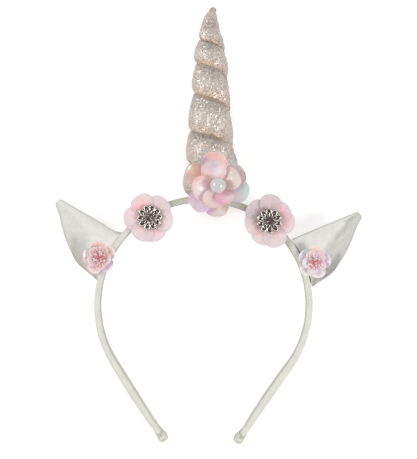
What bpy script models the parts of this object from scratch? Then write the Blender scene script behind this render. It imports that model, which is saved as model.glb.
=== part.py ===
"""A unicorn horn headband lying on its back, in metres, +Z up.

The pieces are modelled in the headband's own frame: X to the right, Y from the leg tips towards
the horn's tip, Z towards the viewer, with the origin at the centre of the band's round crown.
An empty then leans that frame back until the horn, the ears and the leg tips rest on Z = 0.
"""

import math

import bpy
import numpy as np
from mathutils import Matrix, Vector

MM = 0.001
GAP = 0.3 * MM

# The steepest lean that is looked through for the resting pose, and how often the search halves.
STEEPEST_LEAN = 20.0
LEAN_STEPS = 40

# Edges sharper than these stay crisp.
RIBBON_SHARP = 30.0
FOLD_SHARP = 50.0
SHEET_SHARP = 60.0
ROUND_SHARP = 80.0
FACET_SHARP = 5.0

# The satin-covered band: a round crown, then two straight legs that lean inwards.
BAND_RADIUS = 61.0 * MM
BAND_THICKNESS = 3.4 * MM
BAND_DEPTH = 7.0 * MM
BAND_CORNER = 1.2 * MM
BAND_CORNER_STEPS = 2
BAND_OUTSIDE = BAND_RADIUS + BAND_THICKNESS / 2
BAND_FRONT = BAND_DEPTH / 2
CROWN_HALF_SWEEP = 123.5
LEG_LENGTH = 43.5 * MM
CROWN_STATIONS = 45
LEG_STATIONS = 2

# Ribbon folded round each leg's tip: distance from the band's end, thickness, depth, inward shift.
TIP_SECTIONS = (
    {"along": 0.3 * MM, "thickness": 3.7 * MM, "depth": 7.3 * MM, "inward": 0.0 * MM},
    {"along": 3.0 * MM, "thickness": 4.2 * MM, "depth": 7.7 * MM, "inward": 0.2 * MM},
    {"along": 5.6 * MM, "thickness": 5.4 * MM, "depth": 8.0 * MM, "inward": 0.7 * MM},
    {"along": 8.2 * MM, "thickness": 6.0 * MM, "depth": 8.0 * MM, "inward": 0.9 * MM},
    {"along": 10.2 * MM, "thickness": 4.8 * MM, "depth": 7.2 * MM, "inward": 0.8 * MM},
    {"along": 11.2 * MM, "thickness": 2.6 * MM, "depth": 5.0 * MM, "inward": 0.7 * MM},
)

# The stuffed horn stands on the crown, a little right of the middle, and leans back to it.
HORN_SIDE = 2.8 * MM
HORN_LEAN = -1.7
HORN_SIDES = 20
HORN_RINGS = 42
HORN_PUFF = 0.15
HORN_PUFF_POWER = 0.6
HORN_TIP_CURL = 1.4 * MM
HORN_CURL_LENGTH = 7.0 * MM
HORN_CREASE_FADE = 6.0 * MM
HORN_FOOT_HEIGHT = 8.0 * MM
HORN_FOOT_SHARES = (0.3, 0.65)
HORN_PROFILE = (
    {"height": 0.0 * MM, "radius": 13.2 * MM},
    {"height": 3.0 * MM, "radius": 15.0 * MM},
    {"height": 8.0 * MM, "radius": 15.7 * MM},
    {"height": 24.5 * MM, "radius": 14.3 * MM},
    {"height": 46.0 * MM, "radius": 12.5 * MM},
    {"height": 65.0 * MM, "radius": 10.5 * MM},
    {"height": 82.0 * MM, "radius": 9.1 * MM},
    {"height": 90.0 * MM, "radius": 7.4 * MM},
    {"height": 99.0 * MM, "radius": 5.1 * MM},
    {"height": 104.0 * MM, "radius": 3.6 * MM},
    {"height": 107.0 * MM, "radius": 2.1 * MM},
    {"height": 109.0 * MM, "radius": 1.2 * MM},
)
# Where the wound thread's crease crosses the horn's left side, one row a turn, from the base up.
HORN_CREASES = (
    {"turn": -1, "height": -0.6 * MM},
    {"turn": 0, "height": 18.8 * MM},
    {"turn": 1, "height": 38.1 * MM},
    {"turn": 2, "height": 59.8 * MM},
    {"turn": 3, "height": 76.9 * MM},
    {"turn": 4, "height": 90.7 * MM},
    {"turn": 5, "height": 102.3 * MM},
    {"turn": 6, "height": 111.0 * MM},
)

# A felt ear: a cupped leaf whose foot follows the band's outer face.
EAR_WALL = 1.6 * MM
EAR_FOOT_DEPTH = 3.4 * MM
EAR_FOOT_GAP = 0.8 * MM
EAR_RIM_HEIGHT = 1.0 * MM
EAR_ACROSS = 8
EAR_SECTIONS = (
    {"height": 7.4 * MM, "half_width": 13.5 * MM, "shift": -0.7 * MM, "cup": 9.4 * MM},
    {"height": 15.0 * MM, "half_width": 11.2 * MM, "shift": -0.7 * MM, "cup": 12.6 * MM},
    {"height": 22.5 * MM, "half_width": 8.7 * MM, "shift": -0.6 * MM, "cup": 11.4 * MM},
    {"height": 29.0 * MM, "half_width": 6.2 * MM, "shift": -0.2 * MM, "cup": 8.6 * MM},
    {"height": 35.0 * MM, "half_width": 3.9 * MM, "shift": 0.2 * MM, "cup": 5.6 * MM},
    {"height": 39.0 * MM, "half_width": 2.5 * MM, "shift": 0.2 * MM, "cup": 3.6 * MM},
    {"height": 41.5 * MM, "half_width": 1.6 * MM, "shift": 0.0 * MM, "cup": 2.2 * MM},
)
EARS = (
    {"name": "ear_left", "side": -1, "foot": (50.1, 78.2), "axis": 43.3, "shift": -0.4 * MM},
    {"name": "ear_right", "side": 1, "foot": (52.1, 79.0), "axis": 48.2, "shift": 0.4 * MM},
)

# Petals are thin moulded sheets. A row gives one petal, in degrees and millimetres: the angle that
# it points at, how far its tip reaches, its half width, how high its foot is, how far its tip
# rises, and how much it tilts to one side.
PETAL_WALL = 0.4 * MM
PETAL_TAPER = 0.8
PETAL_SIDES = 12
PETAL_MIDDLE = 0.58
PETAL_INNER_SHARE = 0.55

ROSE_PLACE = (6.3 * MM, 68.1 * MM, 15.75 * MM)
ROSE_OUTER = (
    {"angle": 101, "reach": 19.0, "half_width": 7.4, "lift": 1.5, "rise": 3.4, "twist": 0.00},
    {"angle": 32, "reach": 16.8, "half_width": 6.9, "lift": 0.7, "rise": 2.4, "twist": -0.20},
    {"angle": -12, "reach": 17.9, "half_width": 6.6, "lift": 0.1, "rise": 2.0, "twist": -0.20},
    {"angle": -92, "reach": 17.5, "half_width": 7.0, "lift": 0.1, "rise": 2.2, "twist": 0.20},
    {"angle": -139, "reach": 18.9, "half_width": 7.2, "lift": 0.4, "rise": 2.4, "twist": 0.20},
    {"angle": 153, "reach": 19.6, "half_width": 7.0, "lift": 0.8, "rise": 2.4, "twist": 0.20},
)
ROSE_INNER = (
    {"angle": 108, "reach": 14.2, "half_width": 6.9, "lift": 3.3, "rise": 6.2, "twist": -0.22},
    {"angle": 31, "reach": 13.0, "half_width": 6.2, "lift": 3.3, "rise": 5.4, "twist": -0.22},
    {"angle": -57, "reach": 11.6, "half_width": 4.6, "lift": 3.3, "rise": 4.8, "twist": -0.22},
    {"angle": -110, "reach": 12.8, "half_width": 5.0, "lift": 3.3, "rise": 4.8, "twist": -0.22},
    {"angle": -167, "reach": 14.4, "half_width": 6.8, "lift": 3.3, "rise": 5.6, "twist": -0.22},
)
ROSE_OUTER_CUP = 1.0 * MM
ROSE_INNER_CUP = 1.4 * MM
PEARL_RADIUS = 4.5 * MM
PEARL_HEIGHT = 8.4 * MM
PEARL_SIDES = 14
PEARL_RINGS = 8
ROSE_POST_RADIUS = 1.5 * MM
ROSE_POST_FOOT = -0.35 * MM
ROSE_POST_SIDES = 10

# The two frosted blossoms beside the rose, each with a pierced silver cap and one cut stone.
BLOSSOM_CUP = 0.5 * MM
BLOSSOM_SEAT = 0.4 * MM
BLOSSOM_LEFT = {
    "name": "blossom_left",
    "place": (-32.1 * MM, 49.7 * MM, BAND_FRONT + BLOSSOM_SEAT),
    "cap_height": 1.8 * MM,
    "cap_turn": 4.0,
    "petals": (
        {"angle": 121, "reach": 14.3, "half_width": 7.0, "lift": 1.0, "rise": 1.5, "twist": 0.0},
        {"angle": 50, "reach": 13.8, "half_width": 7.0, "lift": 0.1, "rise": 1.4, "twist": 0.0},
        {"angle": -13, "reach": 13.5, "half_width": 6.6, "lift": 1.0, "rise": 1.4, "twist": 0.0},
        {"angle": -72, "reach": 14.3, "half_width": 6.6, "lift": 0.1, "rise": 1.4, "twist": 0.0},
        {"angle": -115, "reach": 14.4, "half_width": 6.8, "lift": 1.0, "rise": 1.4, "twist": 0.0},
        {"angle": -176, "reach": 15.2, "half_width": 6.6, "lift": 0.1, "rise": 1.4, "twist": 0.0},
    ),
}
BLOSSOM_RIGHT = {
    "name": "blossom_right",
    "place": (36.1 * MM, 49.4 * MM, BAND_FRONT + BLOSSOM_SEAT),
    "cap_height": 2.9 * MM,
    "cap_turn": 22.0,
    "petals": (
        {"angle": 87, "reach": 15.3, "half_width": 6.4, "lift": 2.1, "rise": 1.4, "twist": 0.0},
        {"angle": 37, "reach": 13.9, "half_width": 6.4, "lift": 1.0, "rise": 1.4, "twist": 0.0},
        {"angle": -4, "reach": 14.9, "half_width": 6.4, "lift": 0.1, "rise": 1.4, "twist": 0.0},
        {"angle": -69, "reach": 15.8, "half_width": 6.8, "lift": 1.2, "rise": 1.4, "twist": 0.0},
        {"angle": -112, "reach": 14.6, "half_width": 6.6, "lift": 0.1, "rise": 1.4, "twist": 0.0},
        {"angle": -168, "reach": 14.1, "half_width": 6.6, "lift": 1.0, "rise": 1.4, "twist": 0.0},
        {"angle": 143, "reach": 14.9, "half_width": 6.8, "lift": 0.1, "rise": 1.4, "twist": 0.0},
    ),
}
CAP_LOOPS = 10
CAP_LOOP_START = 2.5 * MM
CAP_LOOP_END = 6.6 * MM
CAP_LOOP_HALF_WIDTH = 1.5 * MM
CAP_LOOP_TAPER = 0.25
CAP_LOOP_HEIGHT = 0.55 * MM
CAP_WIRE_RADIUS = 0.42 * MM
CAP_LOOP_POINTS = 8
CAP_WIRE_SIDES = 5
CAP_BEZEL_RADIUS = 3.1 * MM
CAP_BEZEL_HEIGHT = 1.9 * MM
CAP_BEZEL_FLARE = 0.12 * MM
CAP_BEZEL_FLOOR = 0.9 * MM
CAP_BEZEL_WALL = 0.5 * MM
CAP_SIDES = 16
CAP_POST_RADIUS = 1.2 * MM
STONE_RADIUS = 2.25 * MM
STONE_SIDES = 8
STONE_PAVILION = 1.0 * MM
STONE_GIRDLE = 0.15 * MM
STONE_CROWN = 0.75 * MM
STONE_CULET_SHARE = 0.25
STONE_BROW_SHARE = 0.82
STONE_TABLE_SHARE = 0.55

# The small iridescent blossoms at the feet of the ears: two stamped five-petal sequins and beads.
SEQUIN_LOBES = 5
SEQUIN_LOBE_POINTS = 6
SEQUIN_NOTCH = 0.30
SEQUIN_FOLD = 0.35
SEQUIN_INNER_SHARE = 0.5
SEQUIN_LOBE_POWER = 0.5
SEQUIN_TIERS = (
    {"tier": "lower", "radius": 9.6 * MM, "height": 0.0 * MM, "rise": 2.4 * MM, "turn": 0.0},
    {"tier": "upper", "radius": 7.0 * MM, "height": 0.75 * MM, "rise": 3.0 * MM, "turn": 36.0},
)
SEQUIN_BLOSSOMS = (
    {"name": "sequin_left", "x": -60.3 * MM, "y": 26.1 * MM, "turn": 100.0},
    {"name": "sequin_right", "x": 62.5 * MM, "y": 26.5 * MM, "turn": 80.0},
)
BEAD_RADIUS = 1.3 * MM
BEAD_MIDDLE_RADIUS = 1.5 * MM
BEAD_RING_RADIUS = 2.25 * MM
BEAD_SEAT = 0.35 * MM
BEAD_COUNT = 6
BEAD_SIDES = 10
BEAD_RINGS = 4
BALL_POLE = 0.04


def clear_scene():
    """Remove every object, so that the script can be run again."""
    for item in list(bpy.data.objects):
        bpy.data.objects.remove(item)


def make_material(name, colour, roughness, metallic=0.0):
    """A plain Principled BSDF."""
    material = bpy.data.materials.new(name)
    material.use_nodes = True
    shader = material.node_tree.nodes["Principled BSDF"]
    shader.inputs["Base Color"].default_value = (*colour, 1.0)
    shader.inputs["Roughness"].default_value = roughness
    shader.inputs["Metallic"].default_value = metallic
    return material


def add_object(name, mesh, material, frame, smooth_below):
    """Link a mesh as a named object in the headband's frame, smooth but for its sharp edges."""
    mesh.materials.append(material)
    mesh.shade_smooth()
    mesh.set_sharp_from_angle(angle=math.radians(smooth_below))
    item = bpy.data.objects.new(name, mesh)
    bpy.context.scene.collection.objects.link(item)
    item.parent = frame
    return item


def mesh_from(name, points, faces):
    """A mesh from points and faces, with its faces turned outwards."""
    mesh = bpy.data.meshes.new(name)
    mesh.from_pydata([tuple(p) for p in points], [], faces)
    mesh.update()
    return mesh


def smooth_value(rows, key, column, at):
    """Read a table's column at a place between its rows, along a smooth cubic through them."""
    places = [row[key] for row in rows]
    values = [row[column] for row in rows]
    last = len(rows) - 2
    i = min(max(sum(1 for p in places if p <= at) - 1, 0), last)

    def slope(k):
        low, high = max(k - 1, 0), min(k + 1, len(rows) - 1)
        return (values[high] - values[low]) / (places[high] - places[low])

    span = places[i + 1] - places[i]
    u = min(max((at - places[i]) / span, 0.0), 1.0)
    return (
        (2 * u**3 - 3 * u**2 + 1) * values[i]
        + (u**3 - 2 * u**2 + u) * span * slope(i)
        + (3 * u**2 - 2 * u**3) * values[i + 1]
        + (u**3 - u**2) * span * slope(i + 1)
    )


def loft(name, rings):
    """A closed solid through rings of equally many points, with a flat face at each end."""
    sides = len(rings[0])
    points = [p for ring in rings for p in ring]
    faces = [tuple(range(sides - 1, -1, -1))]
    for k in range(len(rings) - 1):
        low, high = k * sides, (k + 1) * sides
        for i in range(sides):
            j = (i + 1) % sides
            faces.append((low + i, low + j, high + j, high + i))
    faces.append(tuple(range((len(rings) - 1) * sides, len(rings) * sides)))
    return mesh_from(name, points, faces)


def solidify(item, thickness):
    """Give a sheet its wall, half on each side."""
    wall = item.modifiers.new("wall", "SOLIDIFY")
    wall.thickness = thickness
    wall.offset = 0.0
    wall.use_even_offset = True


def ribbon_section(thickness, depth, inward=0.0):
    """The band's section as (outward, front) pairs: a flat strip with soft corners."""
    corner = min(BAND_CORNER, 0.45 * thickness, 0.45 * depth)
    half_t, half_d = thickness / 2, depth / 2
    pairs = []
    for sign_t, sign_d, start in ((1, 1, 0), (-1, 1, 90), (-1, -1, 180), (1, -1, 270)):
        for step in range(BAND_CORNER_STEPS):
            angle = math.radians(start + 90 * step / (BAND_CORNER_STEPS - 1))
            out = sign_t * (half_t - corner) + corner * math.cos(angle)
            front = sign_d * (half_d - corner) + corner * math.sin(angle)
            pairs.append((out - inward, front))
    return pairs


def band_stations():
    """The band's centre line from the left leg's end to the right's: (point, outward) pairs."""
    sweep = math.radians(CROWN_HALF_SWEEP)
    stations = []
    for i in range(CROWN_STATIONS + 1):
        angle = -sweep + 2 * sweep * i / CROWN_STATIONS
        outward = Vector((math.sin(angle), math.cos(angle), 0))
        stations.append((outward * BAND_RADIUS, outward))

    def leg(side):
        outward = Vector((side * math.sin(sweep), math.cos(sweep), 0))
        along = Vector((side * math.cos(sweep), -math.sin(sweep), 0))
        step = LEG_LENGTH / LEG_STATIONS
        start = outward * BAND_RADIUS
        return [(start + along * step * (k + 1), outward) for k in range(LEG_STATIONS)]

    return leg(-1)[::-1] + stations + leg(1)


def build_band(frame, satin):
    """The whole band as one bar of ribbon section."""
    section = ribbon_section(BAND_THICKNESS, BAND_DEPTH)
    rings = [
        [point + outward * out + Vector((0, 0, front)) for out, front in section]
        for point, outward in band_stations()
    ]
    add_object("band", loft("band", rings), satin, frame, RIBBON_SHARP)


def build_tip_wraps(frame, satin):
    """The folded ribbon that ends each leg."""
    stations = band_stations()
    for name, end, before in (
        ("tip_wrap_left", stations[0], stations[1]),
        ("tip_wrap_right", stations[-1], stations[-2]),
    ):
        along = (end[0] - before[0]).normalized()
        rings = []
        for row in TIP_SECTIONS:
            section = ribbon_section(row["thickness"], row["depth"], row["inward"])
            centre = end[0] + along * row["along"]
            rings.append([centre + end[1] * out + Vector((0, 0, f)) for out, f in section])
        if end is stations[0]:
            rings = [ring[::-1] for ring in rings]
        add_object(name, loft(name, rings), satin, frame, FOLD_SHARP)


def horn_turns(height):
    """How many turns the wound thread has made on the left side at a height."""
    return smooth_value(HORN_CREASES, "height", "turn", height)


def horn_ring(height, radius_share=1.0):
    """One ring of the horn's skin at a height, puffed between the creases."""
    base = BAND_OUTSIDE + GAP
    top = HORN_PROFILE[-1]["height"]
    lean = math.tan(math.radians(HORN_LEAN))
    curl = HORN_TIP_CURL * max(0.0, 1 - (top - height) / HORN_CURL_LENGTH)
    radius = smooth_value(HORN_PROFILE, "height", "radius", height)
    fade = min(1.0, (top - height) / HORN_CREASE_FADE)
    ring = []
    for i in range(HORN_SIDES):
        angle = 2 * math.pi * i / HORN_SIDES
        turns = horn_turns(height) - (angle - math.pi) / (2 * math.pi)
        puff = abs(math.sin(math.pi * turns)) ** HORN_PUFF_POWER
        reach = radius * (1 - fade * HORN_PUFF * (1 - puff)) * radius_share
        x = HORN_SIDE + height * lean + curl + reach * math.cos(angle)
        z = reach * math.sin(angle)
        sag = base - math.sqrt(base**2 - x**2)
        y = base + height - sag * max(0.0, 1 - height / HORN_FOOT_HEIGHT)
        ring.append(Vector((x, y, z)))
    return ring


def build_horn(frame, cloth):
    """The stuffed horn, with a foot that follows the round band."""
    top = HORN_PROFILE[-1]["height"]
    rings = [horn_ring(0.0, share) for share in HORN_FOOT_SHARES]
    rings += [horn_ring(top * k / HORN_RINGS) for k in range(HORN_RINGS + 1)]
    mesh = loft("horn", [ring[::-1] for ring in rings])
    add_object("horn", mesh, cloth, frame, SHEET_SHARP)


def outside_point(side, angle, radius, z):
    """A point at an angle from the top of the crown, on the side that is asked for."""
    turn = math.radians(angle)
    return Vector((side * radius * math.sin(turn), radius * math.cos(turn), z))


def ear_point(ear, across, section):
    """A point of an ear's middle surface, with across from 0 at its upper edge to 1."""
    turn = math.pi * across
    foot = outside_point(1, sum(ear["foot"]) / 2, BAND_OUTSIDE + EAR_FOOT_GAP, 0)
    tip = math.radians(ear["axis"])
    along = Vector((math.sin(tip), math.cos(tip), 0))
    sideways = Vector((-math.cos(tip), math.sin(tip), 0))
    reach = section["shift"] + ear["shift"] + section["half_width"] * math.cos(turn)
    point = foot + along * section["height"] + sideways * reach
    return Vector((ear["side"] * point.x, point.y, EAR_RIM_HEIGHT - section["cup"] * math.sin(turn)))


def build_ear(ear, frame, felt):
    """A cupped felt ear, its foot laid along the band's outer face."""
    low, high = ear["foot"]
    rows = [[]]
    for i in range(EAR_ACROSS + 1):
        across = i / EAR_ACROSS
        angle = low + (high - low) * (1 - math.cos(math.pi * across)) / 2
        z = EAR_RIM_HEIGHT - EAR_FOOT_DEPTH * math.sin(math.pi * across)
        rows[0].append(outside_point(ear["side"], angle, BAND_OUTSIDE + EAR_FOOT_GAP, z))
    for section in EAR_SECTIONS:
        rows.append([ear_point(ear, i / EAR_ACROSS, section) for i in range(EAR_ACROSS + 1)])
    width = EAR_ACROSS + 1
    faces = []
    for r in range(len(rows) - 1):
        for c in range(EAR_ACROSS):
            i = r * width + c
            faces.append((i, i + 1, i + width + 1, i + width))
    if ear["side"] > 0:
        faces = [face[::-1] for face in faces]
    mesh = mesh_from(ear["name"], [p for row in rows for p in row], faces)
    solidify(add_object(ear["name"], mesh, felt, frame, SHEET_SHARP), EAR_WALL)


def petal_mesh(name, row, foot, cup):
    """One petal along +X from the flower's axis: a drop-shaped sheet that curls up at its tip."""
    reach, half = row["reach"] * MM, row["half_width"] * MM
    length = reach - foot
    widest = max(
        math.sin(math.radians(a)) * math.cos(math.radians(a / 2)) ** PETAL_TAPER
        for a in range(180)
    )
    middle = foot + PETAL_MIDDLE * length
    points = [(middle, 0.0)]
    for share in (PETAL_INNER_SHARE, 1.0):
        for i in range(PETAL_SIDES):
            angle = 2 * math.pi * i / PETAL_SIDES
            x = foot + length * (1 + math.cos(angle)) / 2
            taper = abs(math.cos(angle / 2)) ** PETAL_TAPER / widest
            y = half * math.sin(angle) * taper
            points.append((middle + (x - middle) * share, y * share))
    raised = []
    for x, y in points:
        z = row["lift"] * MM + row["rise"] * MM * (x / reach) ** 2
        raised.append((x, y, z + cup * (y / half) ** 2 + row["twist"] * y))
    faces = []
    for i in range(PETAL_SIDES):
        j = (i + 1) % PETAL_SIDES
        faces.append((0, 1 + i, 1 + j))
        faces.append((1 + i, 1 + PETAL_SIDES + i, 1 + PETAL_SIDES + j, 1 + j))
    return mesh_from(name, raised, faces)


def build_petals(prefix, rows, place, foot, cup, frame, film):
    """A ring of separate petals round one axis."""
    for number, row in enumerate(rows, 1):
        name = f"{prefix}_{number}"
        petal = add_object(name, petal_mesh(name, row, foot, cup), film, frame, SHEET_SHARP)
        petal.location = place
        petal.rotation_euler.z = math.radians(row["angle"])
        solidify(petal, PETAL_WALL)


def ball_rings(radius, rings, sides):
    """The rings of a ball round Z, from its foot up, with small flat poles."""
    made = []
    for k in range(rings + 1):
        polar = math.pi * (BALL_POLE + (1 - 2 * BALL_POLE) * k / rings)
        r, z = radius * math.sin(polar), -radius * math.cos(polar)
        turns = [2 * math.pi * i / sides for i in range(sides)]
        made.append([Vector((r * math.cos(a), r * math.sin(a), z)) for a in turns])
    return made


def turned(name, profile, sides):
    """A closed solid of revolution round Z from (radius, height) pairs, foot first."""
    turns = [2 * math.pi * i / sides for i in range(sides)]
    rings = [[Vector((r * math.cos(a), r * math.sin(a), z)) for a in turns] for r, z in profile]
    return loft(name, rings)


def build_rose(frame, film, pearl, thread):
    """The large rose on the horn's foot: two rings of petals round a pearl."""
    foot = ROSE_POST_RADIUS + GAP
    build_petals("rose_outer_petal", ROSE_OUTER, ROSE_PLACE, foot, ROSE_OUTER_CUP, frame, film)
    build_petals("rose_inner_petal", ROSE_INNER, ROSE_PLACE, foot, ROSE_INNER_CUP, frame, film)
    post_top = PEARL_HEIGHT - PEARL_RADIUS - GAP
    profile = ((ROSE_POST_RADIUS, ROSE_POST_FOOT), (ROSE_POST_RADIUS, post_top))
    shape = turned("rose_post", profile, ROSE_POST_SIDES)
    post = add_object("rose_post", shape, thread, frame, FOLD_SHARP)
    post.location = ROSE_PLACE
    shape = loft("rose_pearl", ball_rings(PEARL_RADIUS, PEARL_RINGS, PEARL_SIDES))
    bead = add_object("rose_pearl", shape, pearl, frame, ROUND_SHARP)
    bead.location = Vector(ROSE_PLACE) + Vector((0, 0, PEARL_HEIGHT))


def cap_loop(angle):
    """One open loop of the pierced cap, as a closed wire that leans up from the bezel."""
    middle = (CAP_LOOP_START + CAP_LOOP_END) / 2
    half = (CAP_LOOP_END - CAP_LOOP_START) / 2
    turn = Matrix.Rotation(math.radians(angle), 3, "Z")
    centres = []
    for i in range(CAP_LOOP_POINTS):
        a = 2 * math.pi * i / CAP_LOOP_POINTS
        width = CAP_LOOP_HALF_WIDTH * (1 - CAP_LOOP_TAPER * (1 - math.cos(a)))
        x, y = middle + half * math.cos(a), width * math.sin(a)
        centres.append(Vector((x, y, CAP_LOOP_HEIGHT)))
    rings = []
    for i, centre in enumerate(centres):
        ahead = (centres[(i + 1) % len(centres)] - centres[i - 1]).normalized()
        side = ahead.cross(Vector((0, 0, 1)))
        ring = []
        for k in range(CAP_WIRE_SIDES):
            b = 2 * math.pi * (k + 0.5) / CAP_WIRE_SIDES
            offset = side * math.cos(b) + Vector((0, 0, 1)) * math.sin(b)
            ring.append(turn @ (centre + offset * CAP_WIRE_RADIUS))
        rings.append(ring)
    points = [p for ring in rings for p in ring]
    faces = []
    for i in range(CAP_LOOP_POINTS):
        for k in range(CAP_WIRE_SIDES):
            i2, k2 = (i + 1) % CAP_LOOP_POINTS, (k + 1) % CAP_WIRE_SIDES
            corners = ((i, k), (i, k2), (i2, k2), (i2, k))
            faces.append(tuple(a * CAP_WIRE_SIDES + b for a, b in corners))
    return mesh_from("loop", points, faces)


def join_solids(target, cutters):
    """Unite solids with the target, and hide the ones that were added."""
    for other in cutters:
        union = target.modifiers.new("join", "BOOLEAN")
        union.operation = "UNION"
        union.solver = "EXACT"
        union.object = other
        other.hide_render = True
        other.display_type = "WIRE"


def build_cap(blossom, frame, silver, crystal):
    """The pierced silver cap with its bezel and post in one piece, and the stone that it holds."""
    name = blossom["name"]
    place = Vector(blossom["place"]) + Vector((0, 0, blossom["cap_height"]))
    inner, post = CAP_BEZEL_RADIUS - CAP_BEZEL_WALL, CAP_POST_RADIUS
    profile = (
        (post, -blossom["cap_height"]),
        (post, 0.0),
        (CAP_BEZEL_RADIUS, CAP_BEZEL_FLARE),
        (CAP_BEZEL_RADIUS, CAP_BEZEL_HEIGHT),
        (inner, CAP_BEZEL_HEIGHT),
        (inner, CAP_BEZEL_FLOOR),
    )
    shape = turned(f"{name}_cap", profile, CAP_SIDES)
    cap = add_object(f"{name}_cap", shape, silver, frame, FOLD_SHARP)
    cap.location = place
    loops = []
    for k in range(CAP_LOOPS):
        angle = blossom["cap_turn"] + 360 * k / CAP_LOOPS
        loop = add_object(f"{name}_loop_{k + 1}", cap_loop(angle), silver, frame, ROUND_SHARP)
        loop.location = place
        loops.append(loop)
    join_solids(cap, loops)
    foot = CAP_BEZEL_FLOOR + GAP
    girdle = foot + STONE_PAVILION
    brow = girdle + STONE_GIRDLE
    profile = (
        (STONE_CULET_SHARE * STONE_RADIUS, foot),
        (STONE_RADIUS, girdle),
        (STONE_RADIUS, brow),
        (STONE_BROW_SHARE * STONE_RADIUS, brow + STONE_CROWN / 2),
        (STONE_TABLE_SHARE * STONE_RADIUS, brow + STONE_CROWN),
    )
    shape = turned(f"{name}_stone", profile, STONE_SIDES)
    gem = add_object(f"{name}_stone", shape, crystal, frame, FACET_SHARP)
    gem.location = place


def build_blossom(blossom, frame, frosted, silver, crystal):
    """A frosted blossom on the band's front edge."""
    prefix = blossom["name"] + "_petal"
    foot = CAP_POST_RADIUS + GAP
    place = blossom["place"]
    build_petals(prefix, blossom["petals"], place, foot, BLOSSOM_CUP, frame, frosted)
    build_cap(blossom, frame, silver, crystal)


def sequin_mesh(name, tier):
    """A stamped five-petal sequin: lobed, with each lobe a shallow cup that rises outwards."""
    count = SEQUIN_LOBES * SEQUIN_LOBE_POINTS
    points = [(0.0, 0.0, 0.0)]
    for share in (SEQUIN_INNER_SHARE, 1.0):
        for i in range(count):
            angle = 2 * math.pi * i / count
            lobe = abs(math.cos(SEQUIN_LOBES * angle / 2)) ** SEQUIN_LOBE_POWER
            reach = tier["radius"] * (1 - SEQUIN_NOTCH * (1 - lobe) * share) * share
            fold = SEQUIN_FOLD * (1 - lobe) * share**2
            z = tier["rise"] * (reach / tier["radius"]) ** 2 * (1 + fold)
            points.append((reach * math.cos(angle), reach * math.sin(angle), z))
    faces = []
    for i in range(count):
        j = (i + 1) % count
        faces.append((0, 1 + i, 1 + j))
        faces.append((1 + i, 1 + count + i, 1 + count + j, 1 + j))
    return mesh_from(name, points, faces)


def build_beads(name, place, frame, glass):
    """The small beads sewn into a sequin's middle, drawn together as one body."""
    middle = loft(name, ball_rings(BEAD_MIDDLE_RADIUS, BEAD_RINGS, BEAD_SIDES))
    cluster = add_object(name, middle, glass, frame, ROUND_SHARP)
    cluster.location = Vector(place) + Vector((0, 0, BEAD_MIDDLE_RADIUS))
    ring = []
    for k in range(BEAD_COUNT):
        angle = 2 * math.pi * k / BEAD_COUNT
        mesh = loft(f"{name}_{k + 1}", ball_rings(BEAD_RADIUS, BEAD_RINGS, BEAD_SIDES))
        bead = add_object(f"{name}_{k + 1}", mesh, glass, frame, ROUND_SHARP)
        offset = Vector((math.cos(angle), math.sin(angle), 0)) * BEAD_RING_RADIUS
        bead.location = Vector(place) + offset + Vector((0, 0, BEAD_RADIUS + BEAD_SEAT))
        ring.append(bead)
    join_solids(cluster, ring)


def sequin_seat(blossom):
    """Where a sequin's middle lies, so that its cupped face just clears the band's front edge."""
    lower = SEQUIN_TIERS[0]
    past_edge = math.hypot(blossom["x"], blossom["y"]) - BAND_OUTSIDE + BAND_CORNER
    risen = lower["rise"] * (past_edge / lower["radius"]) ** 2
    return Vector((blossom["x"], blossom["y"], BAND_FRONT + GAP + PETAL_WALL / 2 - risen))


def build_sequin_blossom(blossom, frame, film, glass):
    """A small sequin blossom that lies over the band and the foot of an ear."""
    place = sequin_seat(blossom)
    for tier in SEQUIN_TIERS:
        name = f"{blossom['name']}_{tier['tier']}"
        sequin = add_object(name, sequin_mesh(name, tier), film, frame, SHEET_SHARP)
        sequin.location = place + Vector((0, 0, tier["height"]))
        sequin.rotation_euler.z = math.radians(blossom["turn"] + tier["turn"])
        solidify(sequin, PETAL_WALL)
    seat = place + Vector((0, 0, SEQUIN_TIERS[-1]["height"] + PETAL_WALL + GAP))
    build_beads(f"{blossom['name']}_beads", seat, frame, glass)


def surface_points():
    """Every point of the built pieces as the viewport shows them, in world space."""
    graph = bpy.context.evaluated_depsgraph_get()
    clouds = []
    for item in bpy.data.objects:
        if item.type != "MESH" or item.hide_render:
            continue
        shown = item.evaluated_get(graph)
        flat = np.empty(len(shown.data.vertices) * 3, np.float32)
        shown.data.vertices.foreach_get("co", flat)
        matrix = np.array(shown.matrix_world)
        clouds.append(flat.reshape(-1, 3) @ matrix[:3, :3].T + matrix[:3, 3])
    return np.vstack(clouds)


def lay_down(frame):
    """Lean the headband until its horn and its leg tips touch the table, centred over the origin."""
    bpy.context.view_layer.update()
    cloud = surface_points()
    legs, horn = cloud[cloud[:, 1] < 0], cloud[cloud[:, 1] > BAND_RADIUS]
    flat, steep = 0.0, math.radians(STEEPEST_LEAN)
    for _ in range(LEAN_STEPS):
        middle = (flat + steep) / 2
        turn = np.array((math.sin(middle), math.cos(middle)))
        lower_horn = (horn[:, 1:] @ turn).min() < (legs[:, 1:] @ turn).min()
        flat, steep = (middle, steep) if lower_horn else (flat, middle)
    frame.rotation_euler.x = middle
    bpy.context.view_layer.update()
    cloud = surface_points()
    low, high = cloud.min(axis=0), cloud.max(axis=0)
    frame.location = (-(low[0] + high[0]) / 2, -(low[1] + high[1]) / 2, -low[2])


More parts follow.
